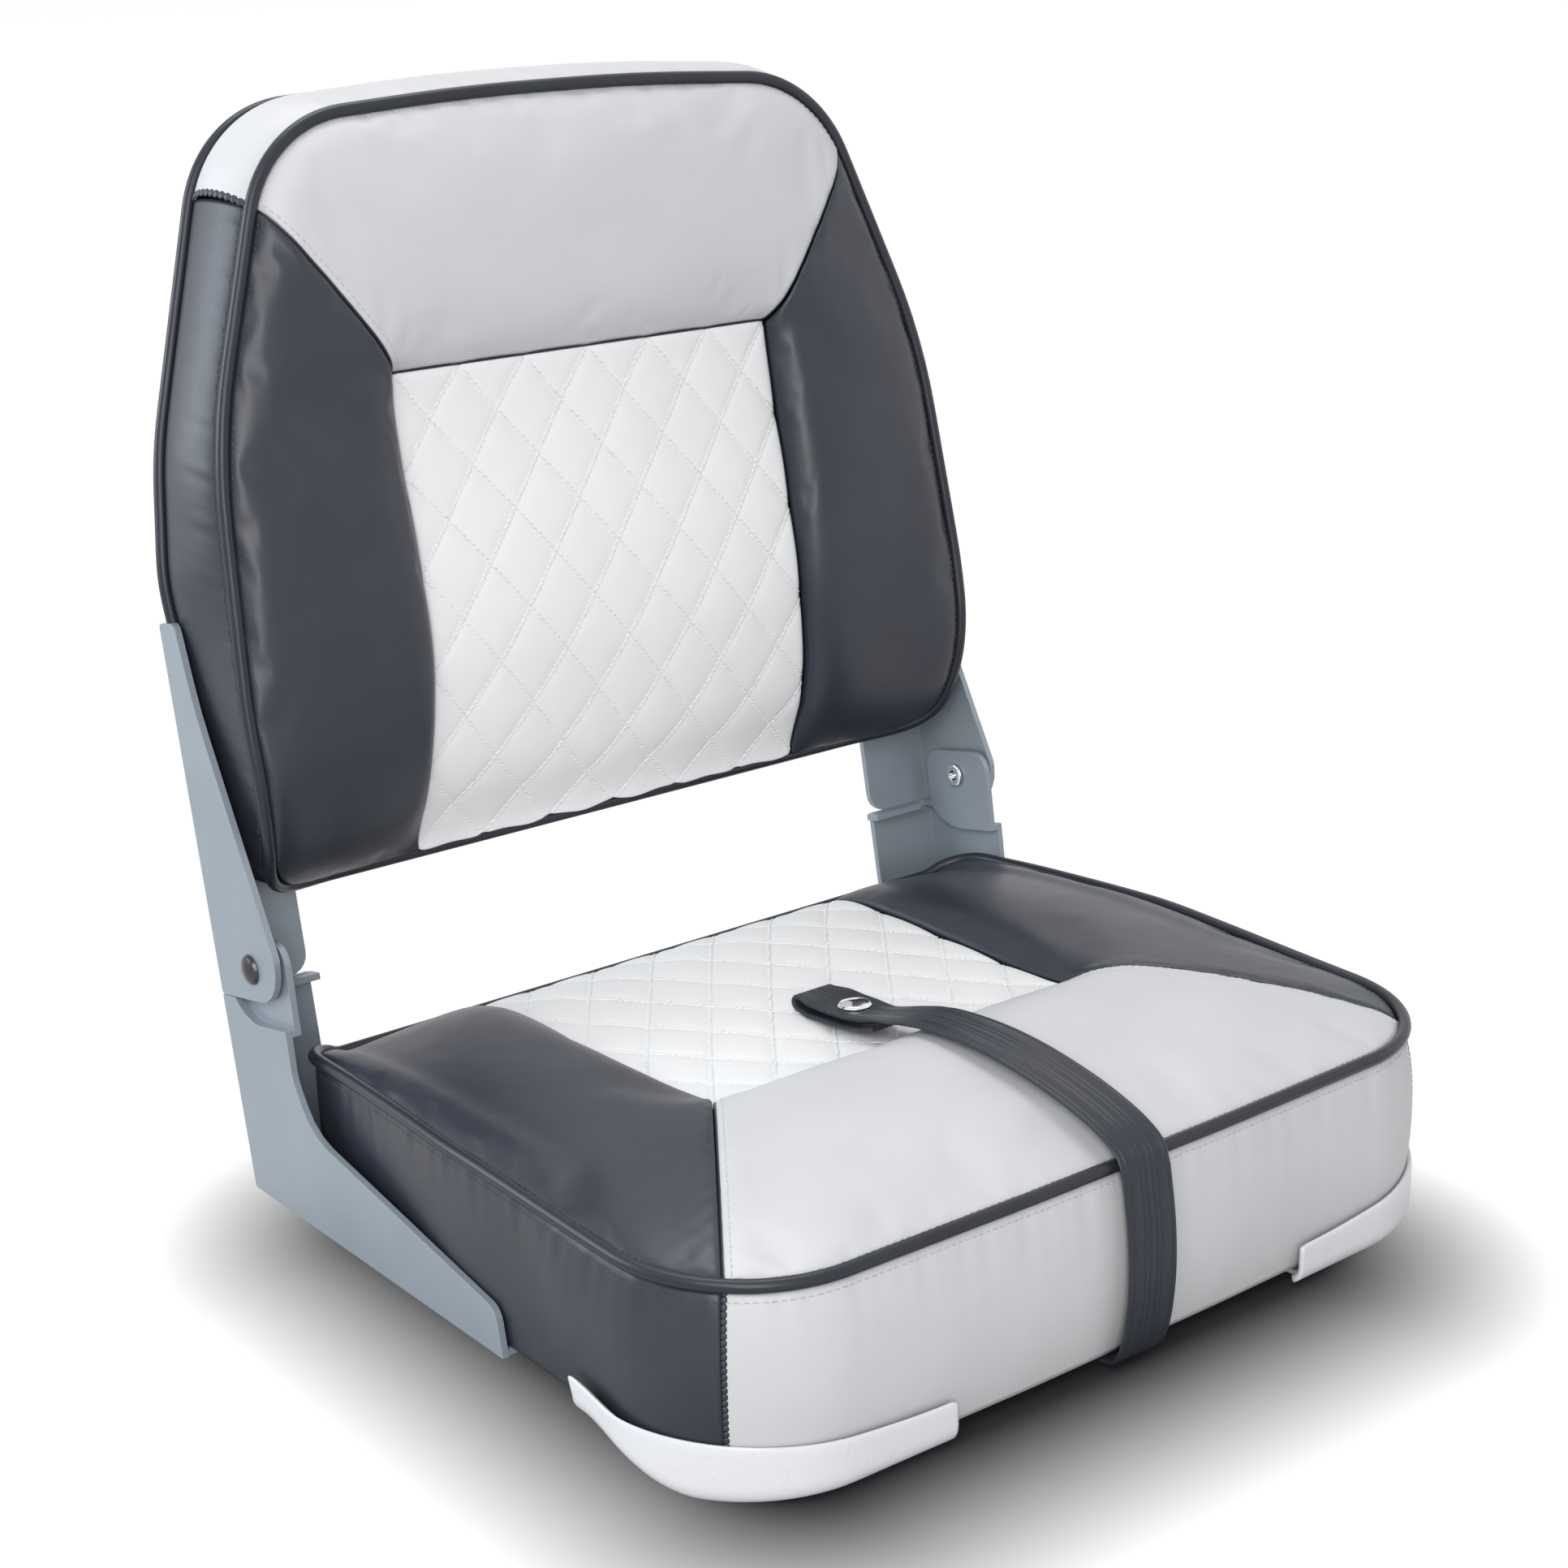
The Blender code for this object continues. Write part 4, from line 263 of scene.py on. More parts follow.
def leaned(points):
    turn = np.array(LEANING.to_3x3())
    return np.asarray(points) @ turn.T + np.array([0, PIVOT_Y, PIVOT_Z])


# Meshes

def new_object(name, verts, faces, material):
    mesh = bpy.data.meshes.new(name)
    mesh.from_pydata([tuple(v) for v in verts], [], faces)
    mesh.update()
    mesh.shade_smooth()
    mesh.materials.append(material)
    piece = bpy.data.objects.new(name, mesh)
    bpy.context.scene.collection.objects.link(piece)
    return piece


def closed_piece(name, verts, faces, material):
    """An object whose faces all point outwards."""
    piece = new_object(name, verts, faces, material)
    shape = bmesh.new()
    shape.from_mesh(piece.data)
    bmesh.ops.recalc_face_normals(shape, faces=shape.faces)
    shape.to_mesh(piece.data)
    shape.free()
    return piece


def grid_faces(rows, columns, start=0, closed_rows=False, closed_columns=False):
    faces = []
    for i in range(rows if closed_rows else rows - 1):
        for j in range(columns if closed_columns else columns - 1):
            a, b = start + i * columns + j, start + i * columns + (j + 1) % columns
            next_row = start + (i + 1) % rows * columns
            faces.append((a, b, next_row + (j + 1) % columns, next_row + j))
    return faces


def capped_faces(rings, sides, start=0):
    """Faces of a tube of rings with a cap at each end."""
    faces = grid_faces(rings, sides, start, closed_columns=True)
    faces.append(tuple(start + j for j in range(sides))[::-1])
    faces.append(tuple(start + (rings - 1) * sides + j for j in range(sides)))
    return faces


def grid_normals(points):
    return unit(np.cross(np.gradient(points, axis=1), np.gradient(points, axis=0)))


def shell(name, points, material, thickness=COVER):
    """A closed sheet of cover material: the outer face is the grid, the inner one lies under it."""
    rows, columns = points.shape[:2]
    inner = points - grid_normals(points) * thickness
    verts = np.concatenate([points.reshape(-1, 3), inner.reshape(-1, 3)])
    count = rows * columns
    faces = grid_faces(rows, columns)
    faces += [face[::-1] for face in grid_faces(rows, columns, count)]
    rim = [j for j in range(columns)] + [i * columns + columns - 1 for i in range(1, rows)]
    rim += [(rows - 1) * columns + j for j in range(columns - 2, -1, -1)]
    rim += [i * columns for i in range(rows - 2, 0, -1)]
    for a, b in zip(rim, rim[1:] + rim[:1]):
        faces.append((b, a, a + count, b + count))
    return closed_piece(name, verts, faces, material)


def tube_points(path, radius, sides, closed, up):
    """Rings of points round a path."""
    path = np.asarray(path, float)
    if closed:
        ahead = np.roll(path, -1, 0) - np.roll(path, 1, 0)
    else:
        ahead = np.gradient(path, axis=0)
    ahead = unit(ahead)
    side = np.cross(ahead, np.array(up, float))
    weak = np.linalg.norm(side, axis=1) < 1e-6
    side[weak] = np.cross(ahead[weak], np.array((1.0, 0.02, 0.01)))
    side = unit(side)
    lift = np.cross(side, ahead)
    turn = np.linspace(0, 2 * math.pi, sides, endpoint=False)
    ring = np.cos(turn)[None, :, None] * side[:, None] + np.sin(turn)[None, :, None] * lift[:, None]
    return path[:, None] + ring * radius


def beads(name, places, material, length, width, height):
    """Stitches: a low bead at each place, given as a point, a direction and a normal."""
    rings, sides = 5, 6
    along = np.linspace(-1, 1, rings)
    swell = np.sqrt(np.clip(1 - (along * 0.92) ** 4, 0, 1))
    turn = np.linspace(0, 2 * math.pi, sides, endpoint=False)
    bead = np.array([[(place * length / 2, math.cos(t) * size * width / 2, math.sin(t) * size * height / 2)
                      for t in turn] for place, size in zip(along, swell)])
    faces_one = capped_faces(rings, sides)
    verts, faces = [], []
    for index, (point, ahead, normal) in enumerate(places):
        ahead = unit(ahead)
        side = unit(np.cross(normal, ahead))
        up = np.cross(ahead, side)
        verts.append(bead.reshape(-1, 3) @ np.stack([ahead, side, up]) + np.asarray(point))
        start = index * rings * sides
        faces += [tuple(start + v for v in face) for face in faces_one]
    return closed_piece(name, np.concatenate(verts), faces, material)


# Materials

def fill(tree, node, inputs):
    """Set a node's inputs, each to a value or to what another node gives."""
    for key, value in inputs.items():
        if isinstance(value, bpy.types.NodeSocket):
            tree.links.new(value, node.inputs[key])
        else:
            node.inputs[key].default_value = value


def step(tree, kind, inputs=None, **settings):
    """A new node: what it gives."""
    node = put(tree.nodes.new(f"ShaderNode{kind}"), **settings)
    fill(tree, node, inputs or {})
    return node.outputs


def noise(tree, scale, detail=3.0, roughness=0.55, stretch=(1, 1, 1)):
    place = step(tree, "TexCoord")["Object"]
    place = step(tree, "Mapping", {"Scale": stretch, "Vector": place})["Vector"]
    return step(tree, "TexNoise", {"Scale": scale, "Detail": detail, "Roughness": roughness,
                                   "Vector": place})["Fac"]


def cells(tree, scale):
    """Distance from the borders of small round cells."""
    inputs = {"Scale": scale, "Vector": step(tree, "TexCoord")["Object"]}
    return step(tree, "TexVoronoi", inputs, feature="DISTANCE_TO_EDGE")["Distance"]


def ramp(tree, value, low, high, low_colour, high_colour):
    node = tree.nodes.new("ShaderNodeValToRGB")
    ends = node.color_ramp.elements
    for end, position, colour in ((ends[0], low, low_colour), (ends[1], high, high_colour)):
        end.position, end.color = position, (*colour, 1)
    tree.links.new(value, node.inputs["Fac"])
    return node.outputs["Color"]


def spread(tree, value, low, high):
    return step(tree, "MapRange", {"To Min": low, "To Max": high, "Value": value})["Result"]


def number_step(tree, operation, first, second):
    return step(tree, "Math", {0: first, 1: second}, operation=operation)["Value"]


def vector_step(tree, operation, *inputs):
    found = step(tree, "VectorMath", dict(enumerate(inputs)), operation=operation)
    return found["Value" if operation == "LENGTH" else "Vector"]


def bump(tree, shader, layers):
    """Bumps on bumps: each layer is a height, a strength and a distance."""
    below = {}
    for value, strength, distance in layers:
        inputs = {"Strength": strength, "Distance": distance, "Height": value}
        below = {"Normal": step(tree, "Bump", inputs | below)["Normal"]}
    fill(tree, shader, below)


def tinted(name, scale, detail, dark, light, high=0.75):
    """A material whose colour drifts slowly between two near ones."""
    material = bpy.data.materials.new(name)
    material.use_nodes = True
    tree = material.node_tree
    shader = tree.nodes["Principled BSDF"]
    fill(tree, shader, {"Base Color": ramp(tree, noise(tree, scale, detail), 0.30, high, dark, light)})
    return material, tree, shader


def uneven(tree, shader, value, low, high):
    """Roughness that wanders between two values."""
    fill(tree, shader, {"Roughness": spread(tree, value, low, high)})


def vinyl(name, dark, light, rough, grain=0.35, gloss=0.5):
    """Leather-grained vinyl: fine cells, a soft waviness and a slightly uneven sheen."""
    material, tree, shader = tinted(name, 18, 4, dark, light, 0.72)
    uneven(tree, shader, noise(tree, 45, 3), rough - 0.05, rough + 0.07)
    pebble = spread(tree, cells(tree, 1150), 0, 1)
    wave, fine = noise(tree, 70, 2, 0.4), noise(tree, 2600, 2)
    bump(tree, shader, [(wave, 0.20, 0.0012), (pebble, grain, 0.00006), (fine, grain / 2, 0.00003)])
    fill(tree, shader, {"Specular IOR Level": gloss})
    return material


def coated(name, dark, light):
    """Powder coat: a fine orange peel over a nearly even colour."""
    material, tree, shader = tinted(name, 25, 4, dark, light)
    uneven(tree, shader, noise(tree, 900, 2), 0.34, 0.48)
    bump(tree, shader, [(noise(tree, 420, 2, 0.5), 0.14, 0.00018)])
    fill(tree, shader, {"Metallic": 0.15, "Coat Weight": 0.25, "Coat Roughness": 0.25})
    return material


def moulded(name, dark, light, rough, strength=0.05):
    """Moulded plastic: flow marks and a fine texture."""
    material, tree, shader = tinted(name, 14, 3, dark, light)
    flow = noise(tree, 160, 3)
    uneven(tree, shader, flow, rough - 0.04, rough + 0.06)
    bump(tree, shader, [(flow, strength, 0.0004), (noise(tree, 700, 2), strength, 0.0001)])
    return material


def metal(name, dark, light, rough, scratch=0.10):
    """Plated or bare metal with fine marks."""
    material, tree, shader = tinted(name, 60, 3, dark, light)
    marks = noise(tree, 1500, 3, 0.6)
    uneven(tree, shader, marks, rough - 0.05, rough + 0.08)
    bump(tree, shader, [(marks, scratch, 0.00005)])
    fill(tree, shader, {"Metallic": 1.0})
    return material


def thread(name, dark, light):
    """Sewing thread with a fine twist."""
    material, tree, shader = tinted(name, 400, 2, dark, light, 0.70)
    twist = noise(tree, 2200, 2, 0.5, (1, 1, 3))
    uneven(tree, shader, twist, 0.55, 0.75)
    bump(tree, shader, [(twist, 0.5, 0.0001)])
    return material


CHARCOAL = vinyl("charcoal_vinyl", (0.022, 0.025, 0.037), (0.030, 0.034, 0.048), 0.38, gloss=0.45)
GREY = vinyl("grey_vinyl", (0.58, 0.58, 0.59), (0.62, 0.62, 0.63), 0.46)
WHITE = vinyl("white_vinyl", (0.83, 0.83, 0.83), (0.86, 0.86, 0.86), 0.50, 0.25)
PIPING = vinyl("piping_vinyl", (0.016, 0.018, 0.026), (0.023, 0.026, 0.036), 0.34, gloss=0.35)
STRAP_VINYL = vinyl("strap_vinyl", (0.022, 0.025, 0.034), (0.030, 0.034, 0.045), 0.36, gloss=0.30)
STEEL = coated("coated_steel", (0.25, 0.29, 0.33), (0.28, 0.32, 0.36))
GUARD = moulded("guard_plastic", (0.74, 0.74, 0.76), (0.77, 0.77, 0.78), 0.28, 0.012)
PAN = moulded("pan_plastic", (0.07, 0.07, 0.075), (0.09, 0.09, 0.095), 0.50, 0.20)
ZINC = metal("zinc", (0.58, 0.58, 0.60), (0.68, 0.68, 0.70), 0.30)
DARK_STEEL = metal("dark_steel", (0.055, 0.055, 0.06), (0.09, 0.09, 0.095), 0.24)
CHROME = metal("chrome", (0.78, 0.78, 0.80), (0.86, 0.86, 0.87), 0.10, 0.05)
NYLON = moulded("nylon", (0.76, 0.75, 0.71), (0.82, 0.81, 0.77), 0.45)
WHITE_THREAD = thread("white_thread", (0.80, 0.80, 0.80), (0.88, 0.88, 0.88))
GREY_THREAD = thread("grey_thread", (0.50, 0.50, 0.51), (0.60, 0.60, 0.61))
DARK_THREAD = thread("dark_thread", (0.035, 0.038, 0.046), (0.060, 0.064, 0.074))


# Sewn surfaces

def quilt(column, row, down, height):
    """Height of a diamond-sewn panel: pillows between crossing lines, with a groove along each line."""
    a, b = column * QUILT_ACROSS + row * down, column * QUILT_ACROSS - row * down
    near = [np.abs(value - np.round(value)) for value in (a, b)]
    arches = [np.sin(math.pi * np.clip(value, 0, 0.5)) for value in near]
    puff = np.sqrt(np.clip(arches[0] * arches[1], 0, 1))
    groove = np.exp(-(near[0] / QUILT_REACH) ** 2) + np.exp(-(near[1] / QUILT_REACH) ** 2)
    return height * puff - QUILT_DEPTH * np.minimum(groove, 1.15)


def quilt_lines(down):
    """The sewn lines of a quilted panel as pairs of ends in shares of the panel."""
    lines = []
    for sign in (1, -1):
        low = 0 if sign > 0 else -down
        high = QUILT_ACROSS + down if sign > 0 else QUILT_ACROSS
        for number in range(low, high + 1):
            ends = []
            for column in (0.0, 1.0):
                row = sign * (number - column * QUILT_ACROSS) / down
                if -1e-9 <= row <= 1 + 1e-9:
                    ends.append((column, row))
            for row in (0.0, 1.0):
                column = (number - sign * row * down) / QUILT_ACROSS
                if 1e-9 < column < 1 - 1e-9:
                    ends.append((column, row))
            if len(ends) >= 2:
                lines.append((np.array(ends[0]), np.array(ends[1]), sign))
    return lines


def read_grid(points, columns, rows):
    """Places of a grid at shares along its columns and rows."""
    count_r, count_c = points.shape[0] - 1, points.shape[1] - 1
    x, y = np.clip(columns, 0, 1) * count_c, np.clip(rows, 0, 1) * count_r
    i, j = np.minimum(y.astype(int), count_r - 1), np.minimum(x.astype(int), count_c - 1)
    fy, fx = (y - i)[..., None], (x - j)[..., None]
    return ((points[i, j] * (1 - fx) + points[i, j + 1] * fx) * (1 - fy)
            + (points[i + 1, j] * (1 - fx) + points[i + 1, j + 1] * fx) * fy)


def stitch_line(points, columns, rows, pitch, slant=0.0, lift=0.0):
    """Stitch places along a line given in shares of a grid: a point, a direction and a normal each."""
    fine = read_grid(points, columns, rows)
    normals = grid_normals(points)
    line = Line(fine)
    count = max(1, int(line.length / pitch))
    shares = (np.arange(count) + 0.5) / count
    marks = line.marks / line.length
    at_column, at_row = np.interp(shares, marks, columns), np.interp(shares, marks, rows)
    place = read_grid(points, at_column, at_row)
    normal = unit(read_grid(normals, at_column, at_row))
    ahead = unit(line.at(np.clip(shares + 0.002, 0, 1)) - line.at(np.clip(shares - 0.002, 0, 1)))
    found = []
    for spot, way, out in zip(place, ahead, normal):
        side = np.cross(out, way)
        found.append((spot + out * lift, way * math.cos(slant) + side * math.sin(slant), out))
    return found


def facing(points, hub):
    """The grid with its rows in the order that makes its normals look away from a hub."""
    normal = grid_normals(points)
    rows, columns = points.shape[:2]
    if np.dot(normal[rows // 2, columns // 2], points[rows // 2, columns // 2] - np.array(hub)) < 0:
        return points[:, ::-1]
    return points


def edge_distance(grid, edges):
    """Distance of each grid point from the named edges: foot, head, start or end."""
    nearest = np.full(grid.shape[:2], 1.0)
    steps_v = np.linalg.norm(np.diff(grid, axis=0), axis=-1)
    steps_u = np.linalg.norm(np.diff(grid, axis=1), axis=-1)
    along_v = np.concatenate([np.zeros((1, grid.shape[1])), np.cumsum(steps_v, 0)])
    along_u = np.concatenate([np.zeros((grid.shape[0], 1)), np.cumsum(steps_u, 1)], 1)
    found = {"foot": along_v, "head": along_v[-1:] - along_v,
             "start": along_u, "end": along_u[:, -1:] - along_u}
    for edge in edges:
        nearest = np.minimum(nearest, found[edge])
    return nearest


def sewn_dip(grid, inner_edges, welt_edges):
    """How far a cover dips at its seams with other covers and at the welt: steep at the edge, then flat."""
    return sum(depth * np.exp(-edge_distance(grid, edges) / reach)
               for edges, (depth, reach) in ((inner_edges, INNER_SEAM), (welt_edges, WELT_SEAM)))


def even(low, high, count):
    """Shares that crowd towards both ends, for a crisp seam."""
    shares = np.linspace(0, 1, count + 1)
    return mix(shares, (1 - np.cos(shares * math.pi)) / 2, 0.55) * (high - low) + low


def crowd(grid):
    """A grid read again with its rows and columns crowded towards its edges."""
    columns, rows = even(0, 1, grid.shape[1] - 1), even(0, 1, grid.shape[0] - 1)
    c, r = np.meshgrid(columns, rows)
    return read_grid(grid, c, r), c, r


def settled(name, grid):
    """A cover after a cloth simulation: sewn down at its edge, a little too large, pushed by its foam."""
    coarse = grid[::2, ::2]
    rows, columns = coarse.shape[:2]
    piece = new_object(f"{name}_cloth", coarse.reshape(-1, 3), grid_faces(rows, columns), GREY)
    sewn = piece.vertex_groups.new(name="sewn")
    edge = [i * columns + j for i in range(rows) for j in range(columns)
            if i in (0, rows - 1) or j in (0, columns - 1)]
    sewn.add(edge, 1.0, "REPLACE")
    cloth = piece.modifiers.new("cloth", "CLOTH").settings
    put(cloth, vertex_group_mass="sewn", quality=6, mass=CLOTH_MASS, tension_stiffness=CLOTH_STIFFNESS,
        compression_stiffness=CLOTH_STIFFNESS, bending_stiffness=CLOTH_BEND, shrink_min=-CLOTH_SLACK,
        use_pressure=True, uniform_pressure_force=CLOTH_PRESSURE)
    cloth.effector_weights.gravity = 0
    for step in range(1, CLOTH_FRAMES + 1):
        bpy.context.scene.frame_set(step)
    found = piece.evaluated_get(bpy.context.evaluated_depsgraph_get())
    places = np.array([vertex.co for vertex in found.data.vertices]).reshape(coarse.shape)
    bpy.data.objects.remove(piece)
    bpy.context.scene.frame_set(1)
    shift = places - coarse
    far = np.linalg.norm(shift, axis=-1, keepdims=True)
    shift *= CLOTH_LIMIT * np.tanh(far / CLOTH_LIMIT) / np.maximum(far, 1e-9)
    column_shares, row_shares = (np.linspace(0, 1, count) for count in (grid.shape[1], grid.shape[0]))
    return grid + read_grid(shift, *np.meshgrid(column_shares, row_shares))


def keep(piece, body, slot, *replaced, fill=None):
    """Hand a finished piece to the frame."""
    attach(piece, body)
    if replaced:
        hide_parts(*replaced)


VINYLS = {"center": (WHITE, "white_vinyl"), "front": (GREY, "grey_vinyl"), "head": (GREY, "grey_vinyl"),
          "top": (GREY, "grey_vinyl")}


def vinyl_of(key):
    """The vinyl of a cover and the name of its slot: charcoal unless it is listed."""
    return VINYLS.get(key, (CHARCOAL, "charcoal_vinyl"))


def cover_panels(panels, body, hub, place=np.asarray):
    """Turn a cushion's panels outwards, settle the unquilted ones and make them its covers."""
    for key, grid in panels.items():
        bolster = key in ("left", "right")
        name = f"{body}_bolster_cover_{key}" if bolster else f"{body}_{key}_cover"
        replaced = [f"{body}_bolster_{key}" if bolster else f"{body}_{key}_panel"]
        grid = place(facing(grid, hub))
        if key == "center":
            replaced.append(f"{body}_foam")
        else:
            grid = settled(name, grid)
        panels[key] = grid
        material, slot = vinyl_of(key)
        keep(shell(name, grid, material), body, slot, *replaced, fill=0.9)


def welt(name, lines, body, node, up=(0, 0, 1), place=np.asarray):
    """A closed cord of piping along lines that follow each other."""
    path = place(chain(*lines).at(np.linspace(0, 1, 721)[:-1]))
    rings = tube_points(path, PIPE_RADIUS, 16, True, up)
    faces = grid_faces(*rings.shape[:2], closed_rows=True, closed_columns=True)
    keep(closed_piece(name, rings.reshape(-1, 3), faces, PIPING), body, "piping", node)


# Seat cushion

def sided(points, side, shift=0.0):
    """A line in space moved outwards across the seat, then put on one side."""
    return Line((np.asarray(points) + np.array([shift, 0, 0])) * np.array([side, 1, 1]))


def chain(*lines):
    """One line of several that follow each other."""
    return Line(np.concatenate([line.points if i == 0 else line.points[1:] for i, line in enumerate(lines)]))


def pinned(line, first=None, last=None):
    """A line whose ends are moved onto its neighbours' corners."""
    points = line.points.copy()
    if first is not None:
        points[0] = first
    if last is not None:
        points[-1] = last
    return Line(points)


def panel(foot, head, start, end, columns, rows):
    """A surface inside four joined edges, and the shares of its columns and rows."""
    return crowd(coons(foot, head, start, end, columns, rows))


def framed(head, sides, columns, rows, foot=None):
    """A panel between two side lines: its head meets their ends, and its foot is straight unless given."""
    foot = foot or Line([sides[0].at(0), sides[1].at(0)])
    return panel(foot, pinned(head, sides[0].at(1), sides[1].at(1)), *sides, columns, rows)


def build_up(share, reach):
    """From nothing at a closed end to the full crown at the other."""
    return (1 - np.exp(-share / reach)) / (1 - math.exp(-1 / reach))


def gather(grid, edges, depth, reach=0.006):
    """Small uneven puckers that fade with distance from a sewn edge."""
    distance = edge_distance(grid, edges)
    x, y, z = grid[..., 0], grid[..., 1], grid[..., 2]
    wave = np.sin(x * 610 + y * 240) + np.sin(y * 740 - z * 300 + 1.3)
    wave += np.sin(x * 330 - y * 410 + z * 520 + 4.1)
    return depth / 3 * wave * np.exp(-distance / reach)


def rim_line(side, start, end, inset=EDGE, lift=0.001):
    shares = np.linspace(start, end, 300)
    flat = seat_outline(side, inset).at(shares)
    return Line(np.column_stack([flat, rim_z(seat_outline(side).at(shares)[:, 1]) + lift]))


half = seat_outline(1)
seat_inner = half.where(lambda p: np.abs(p[:, 0]) >= SEAT_SEAM[0][0])
seat_corner = half.where(lambda p: p[:, 1] <= 0.1440)
seat_front = half.where(lambda p: p[:, 1] <= -0.1400)


def seat_panels():
    made = {}
    seam = smooth(SEAT_SEAM).points
    front_half, front_y, front_z = SEAT_SEAM[-1]
    corners = [sided(seam, side, -SEAM) for side in (-1, 1)]
    inner = [Line(line.points[::-1] + np.array([0, SEAM, 0]) * np.linspace(1, 0, len(seam))[:, None])
             for line in corners]
    head = chain(rim_line(-1, seat_inner, 0), rim_line(1, 0, seat_inner))
    grid, column, row = framed(head, inner, 110, 96)
    grid[..., 2] += 0.0020 * pillow(column) * pillow(row) + quilt(column, row, SEAT_QUILT_DOWN, 0.0010)
    grid[..., 2] -= sewn_dip(grid, ("start", "end", "foot"), ("head",))
    made["center"] = grid

    end = rim_line(1, seat_corner, seat_front).at(1)
    way = end[:2] - np.array([front_half, front_y])
    aside = unit(np.array([-way[1], way[0], 0])) * SEAM
    near = np.array([front_half, front_y - SEAM, front_z])
    slant = [sided([near - aside, end - aside], side) for side in (-1, 1)]
    rim = chain(rim_line(-1, seat_front, 1), rim_line(1, 1, seat_front))
    grid, column, row = framed(rim, slant, 150, 60)
    grid[..., 2] += seat_crown(row) * mix(SEAT_CROWN, SEAT_CROWN_MIDDLE, pillow(column, 2.0))
    grid[..., 2] += gather(grid, ("head",), PUCKER) + gather(grid, ("start", "end"), 0.00025, 0.010)
    grid[..., 2] -= sewn_dip(grid, ("foot", "start", "end"), ("head",))
    made["front"] = grid

    for name, side in (("left", -1), ("right", 1)):
        slant = sided([near + aside + np.array([SEAM, SEAM, 0]), end + aside], side)
        foot = pinned(sided(seam, side, SEAM), last=slant.at(0))
        flank = pinned(rim_line(side, seat_corner, seat_front), last=slant.at(1))
        rear = pinned(rim_line(side, seat_inner, seat_corner), foot.at(0), flank.at(0))
        grid, column, row = panel(foot, flank, rear, slant, 96, 60)
        grid[..., 2] += seat_crown(row) * SEAT_CROWN * build_up(column, 0.16)
        grid[..., 2] += gather(grid, ("head", "start"), PUCKER) + gather(grid, ("end",), WIDE_PUCKER, 0.010)
        grid[..., 2] -= sewn_dip(grid, ("foot", "end"), ("head", "start"))
        made[name] = grid
    return made


def outward(points):
    """The level way out of the cushion at each point of a line along its rim."""
    ahead = np.gradient(points, axis=0)
    way = unit(np.stack([ahead[:, 1], -ahead[:, 0], 0 * ahead[:, 0]], -1))
    way[(way * points).sum(1) < 0] *= -1
    return way


BOXING_HEIGHT, BOXING_STEP, BOXING_BULGE, BOXING_LEAN = 0.07, 0.0018, 0.0050, 0.0015
BOXING_DIP, BOXING_CREASE, BOXING_ROWS = 0.0016, 0.012, 34


def seat_boxing_grid(start, end, side):
    """The strip from the welt to the pan: straight at the rear, by the brackets, and full in front."""
    count = max(4, int(abs(end - start) * half.length / BOXING_STEP))
    shares = np.linspace(start, end, count + 1)
    top = seat_outline(side).at(shares)
    foot = seat_outline(side, corner=FRONT_CORNER - 0.002).at(shares)
    way = outward(np.column_stack([foot, 0 * foot[:, 0]]))[None]
    y = foot[:, 1]
    top = np.column_stack([top, rim_z(top[:, 1]) - PIPE_RADIUS * 0.7])[None]
    foot = np.column_stack([foot, mix(FOOT_Z, FOOT_FRONT_Z, ease((-0.085 - y) / 0.043))])[None]
    share = np.linspace(0, 1, BOXING_ROWS + 1)[:, None]
    fall = share * BOXING_HEIGHT
    free = ease((-0.028 - y) / 0.042)[None]
    stand = BOXING_BULGE * free * pillow(share) - BOXING_LEAN * share ** 2
    stand -= BOXING_DIP * np.exp(-fall / WELT_SEAM[1])
    crease = np.exp(-fall / BOXING_CREASE) * ease(share / 0.05)
    along = shares * half.length
    wave = np.sin(along * 620) + np.sin(along * 393 + 2) + np.sin(along * 235 + 4)
    stand = stand + PUCKER * crease * wave[None]
    return mix(top, foot, share[..., None]) + way * stand[..., None]


SEAT_HUB, BOXING_HUB = (0, 0, -0.09), (0, 0, 0.045)
seat = seat_panels()
cover_panels(seat, "seat", SEAT_HUB)

slit = SEWN_SLIT / half.length
boxing = {
    "front": np.concatenate([seat_boxing_grid(seat_front + slit, 1, -1),
                             seat_boxing_grid(1, seat_front + slit, 1)[:, 1:]], 1),
    "left": seat_boxing_grid(seat_corner + slit, seat_front - slit, -1),
    "right": seat_boxing_grid(seat_corner + slit, seat_front - slit, 1),
    "rear": np.concatenate([seat_boxing_grid(seat_corner - slit, 0, -1),
                            seat_boxing_grid(0, seat_corner - slit, 1)[:, 1:]], 1),
}
for key, grid in boxing.items():
    boxing[key] = facing(grid, BOXING_HUB)
    material, slot = vinyl_of(key)
    keep(shell(f"seat_side_{key}", boxing[key], material), "seat", slot, f"seat_boxing_{key}", fill=0.8)

welt("seat_welt", (rim_line(1, 0, 1, 0, 0), rim_line(-1, 1, 0, 0, 0)), "seat", "seat_piping")


# Corner guards

GUARD_STAND, GUARD_WALL, GUARD_FLANGE, GUARD_BEND, GUARD_LIP = 0.0062, 0.0022, 0.026, 0.009, 0.0007
GUARD_TIP_Y, GUARD_INNER_X, GUARD_SLANT, GUARD_ROUND, GUARD_FOOT_ROUND = -0.0722, 0.0955, 0.003, 0.003, 0.007
GUARD_TURN_Y, GUARD_TOPS, GUARD_FEET = -0.1055, (0.0335, 0.0290, 0.0220), (0.0172, 0.0020)


def corner_cut(distance, radius):
    """How far a rounded corner stands back, at a distance from the edge that it meets."""
    left = np.clip(radius - distance, 0, radius)
    return radius - np.sqrt(radius ** 2 - left ** 2)


GUARD_COLUMNS, GUARD_ROWS = 150, 24


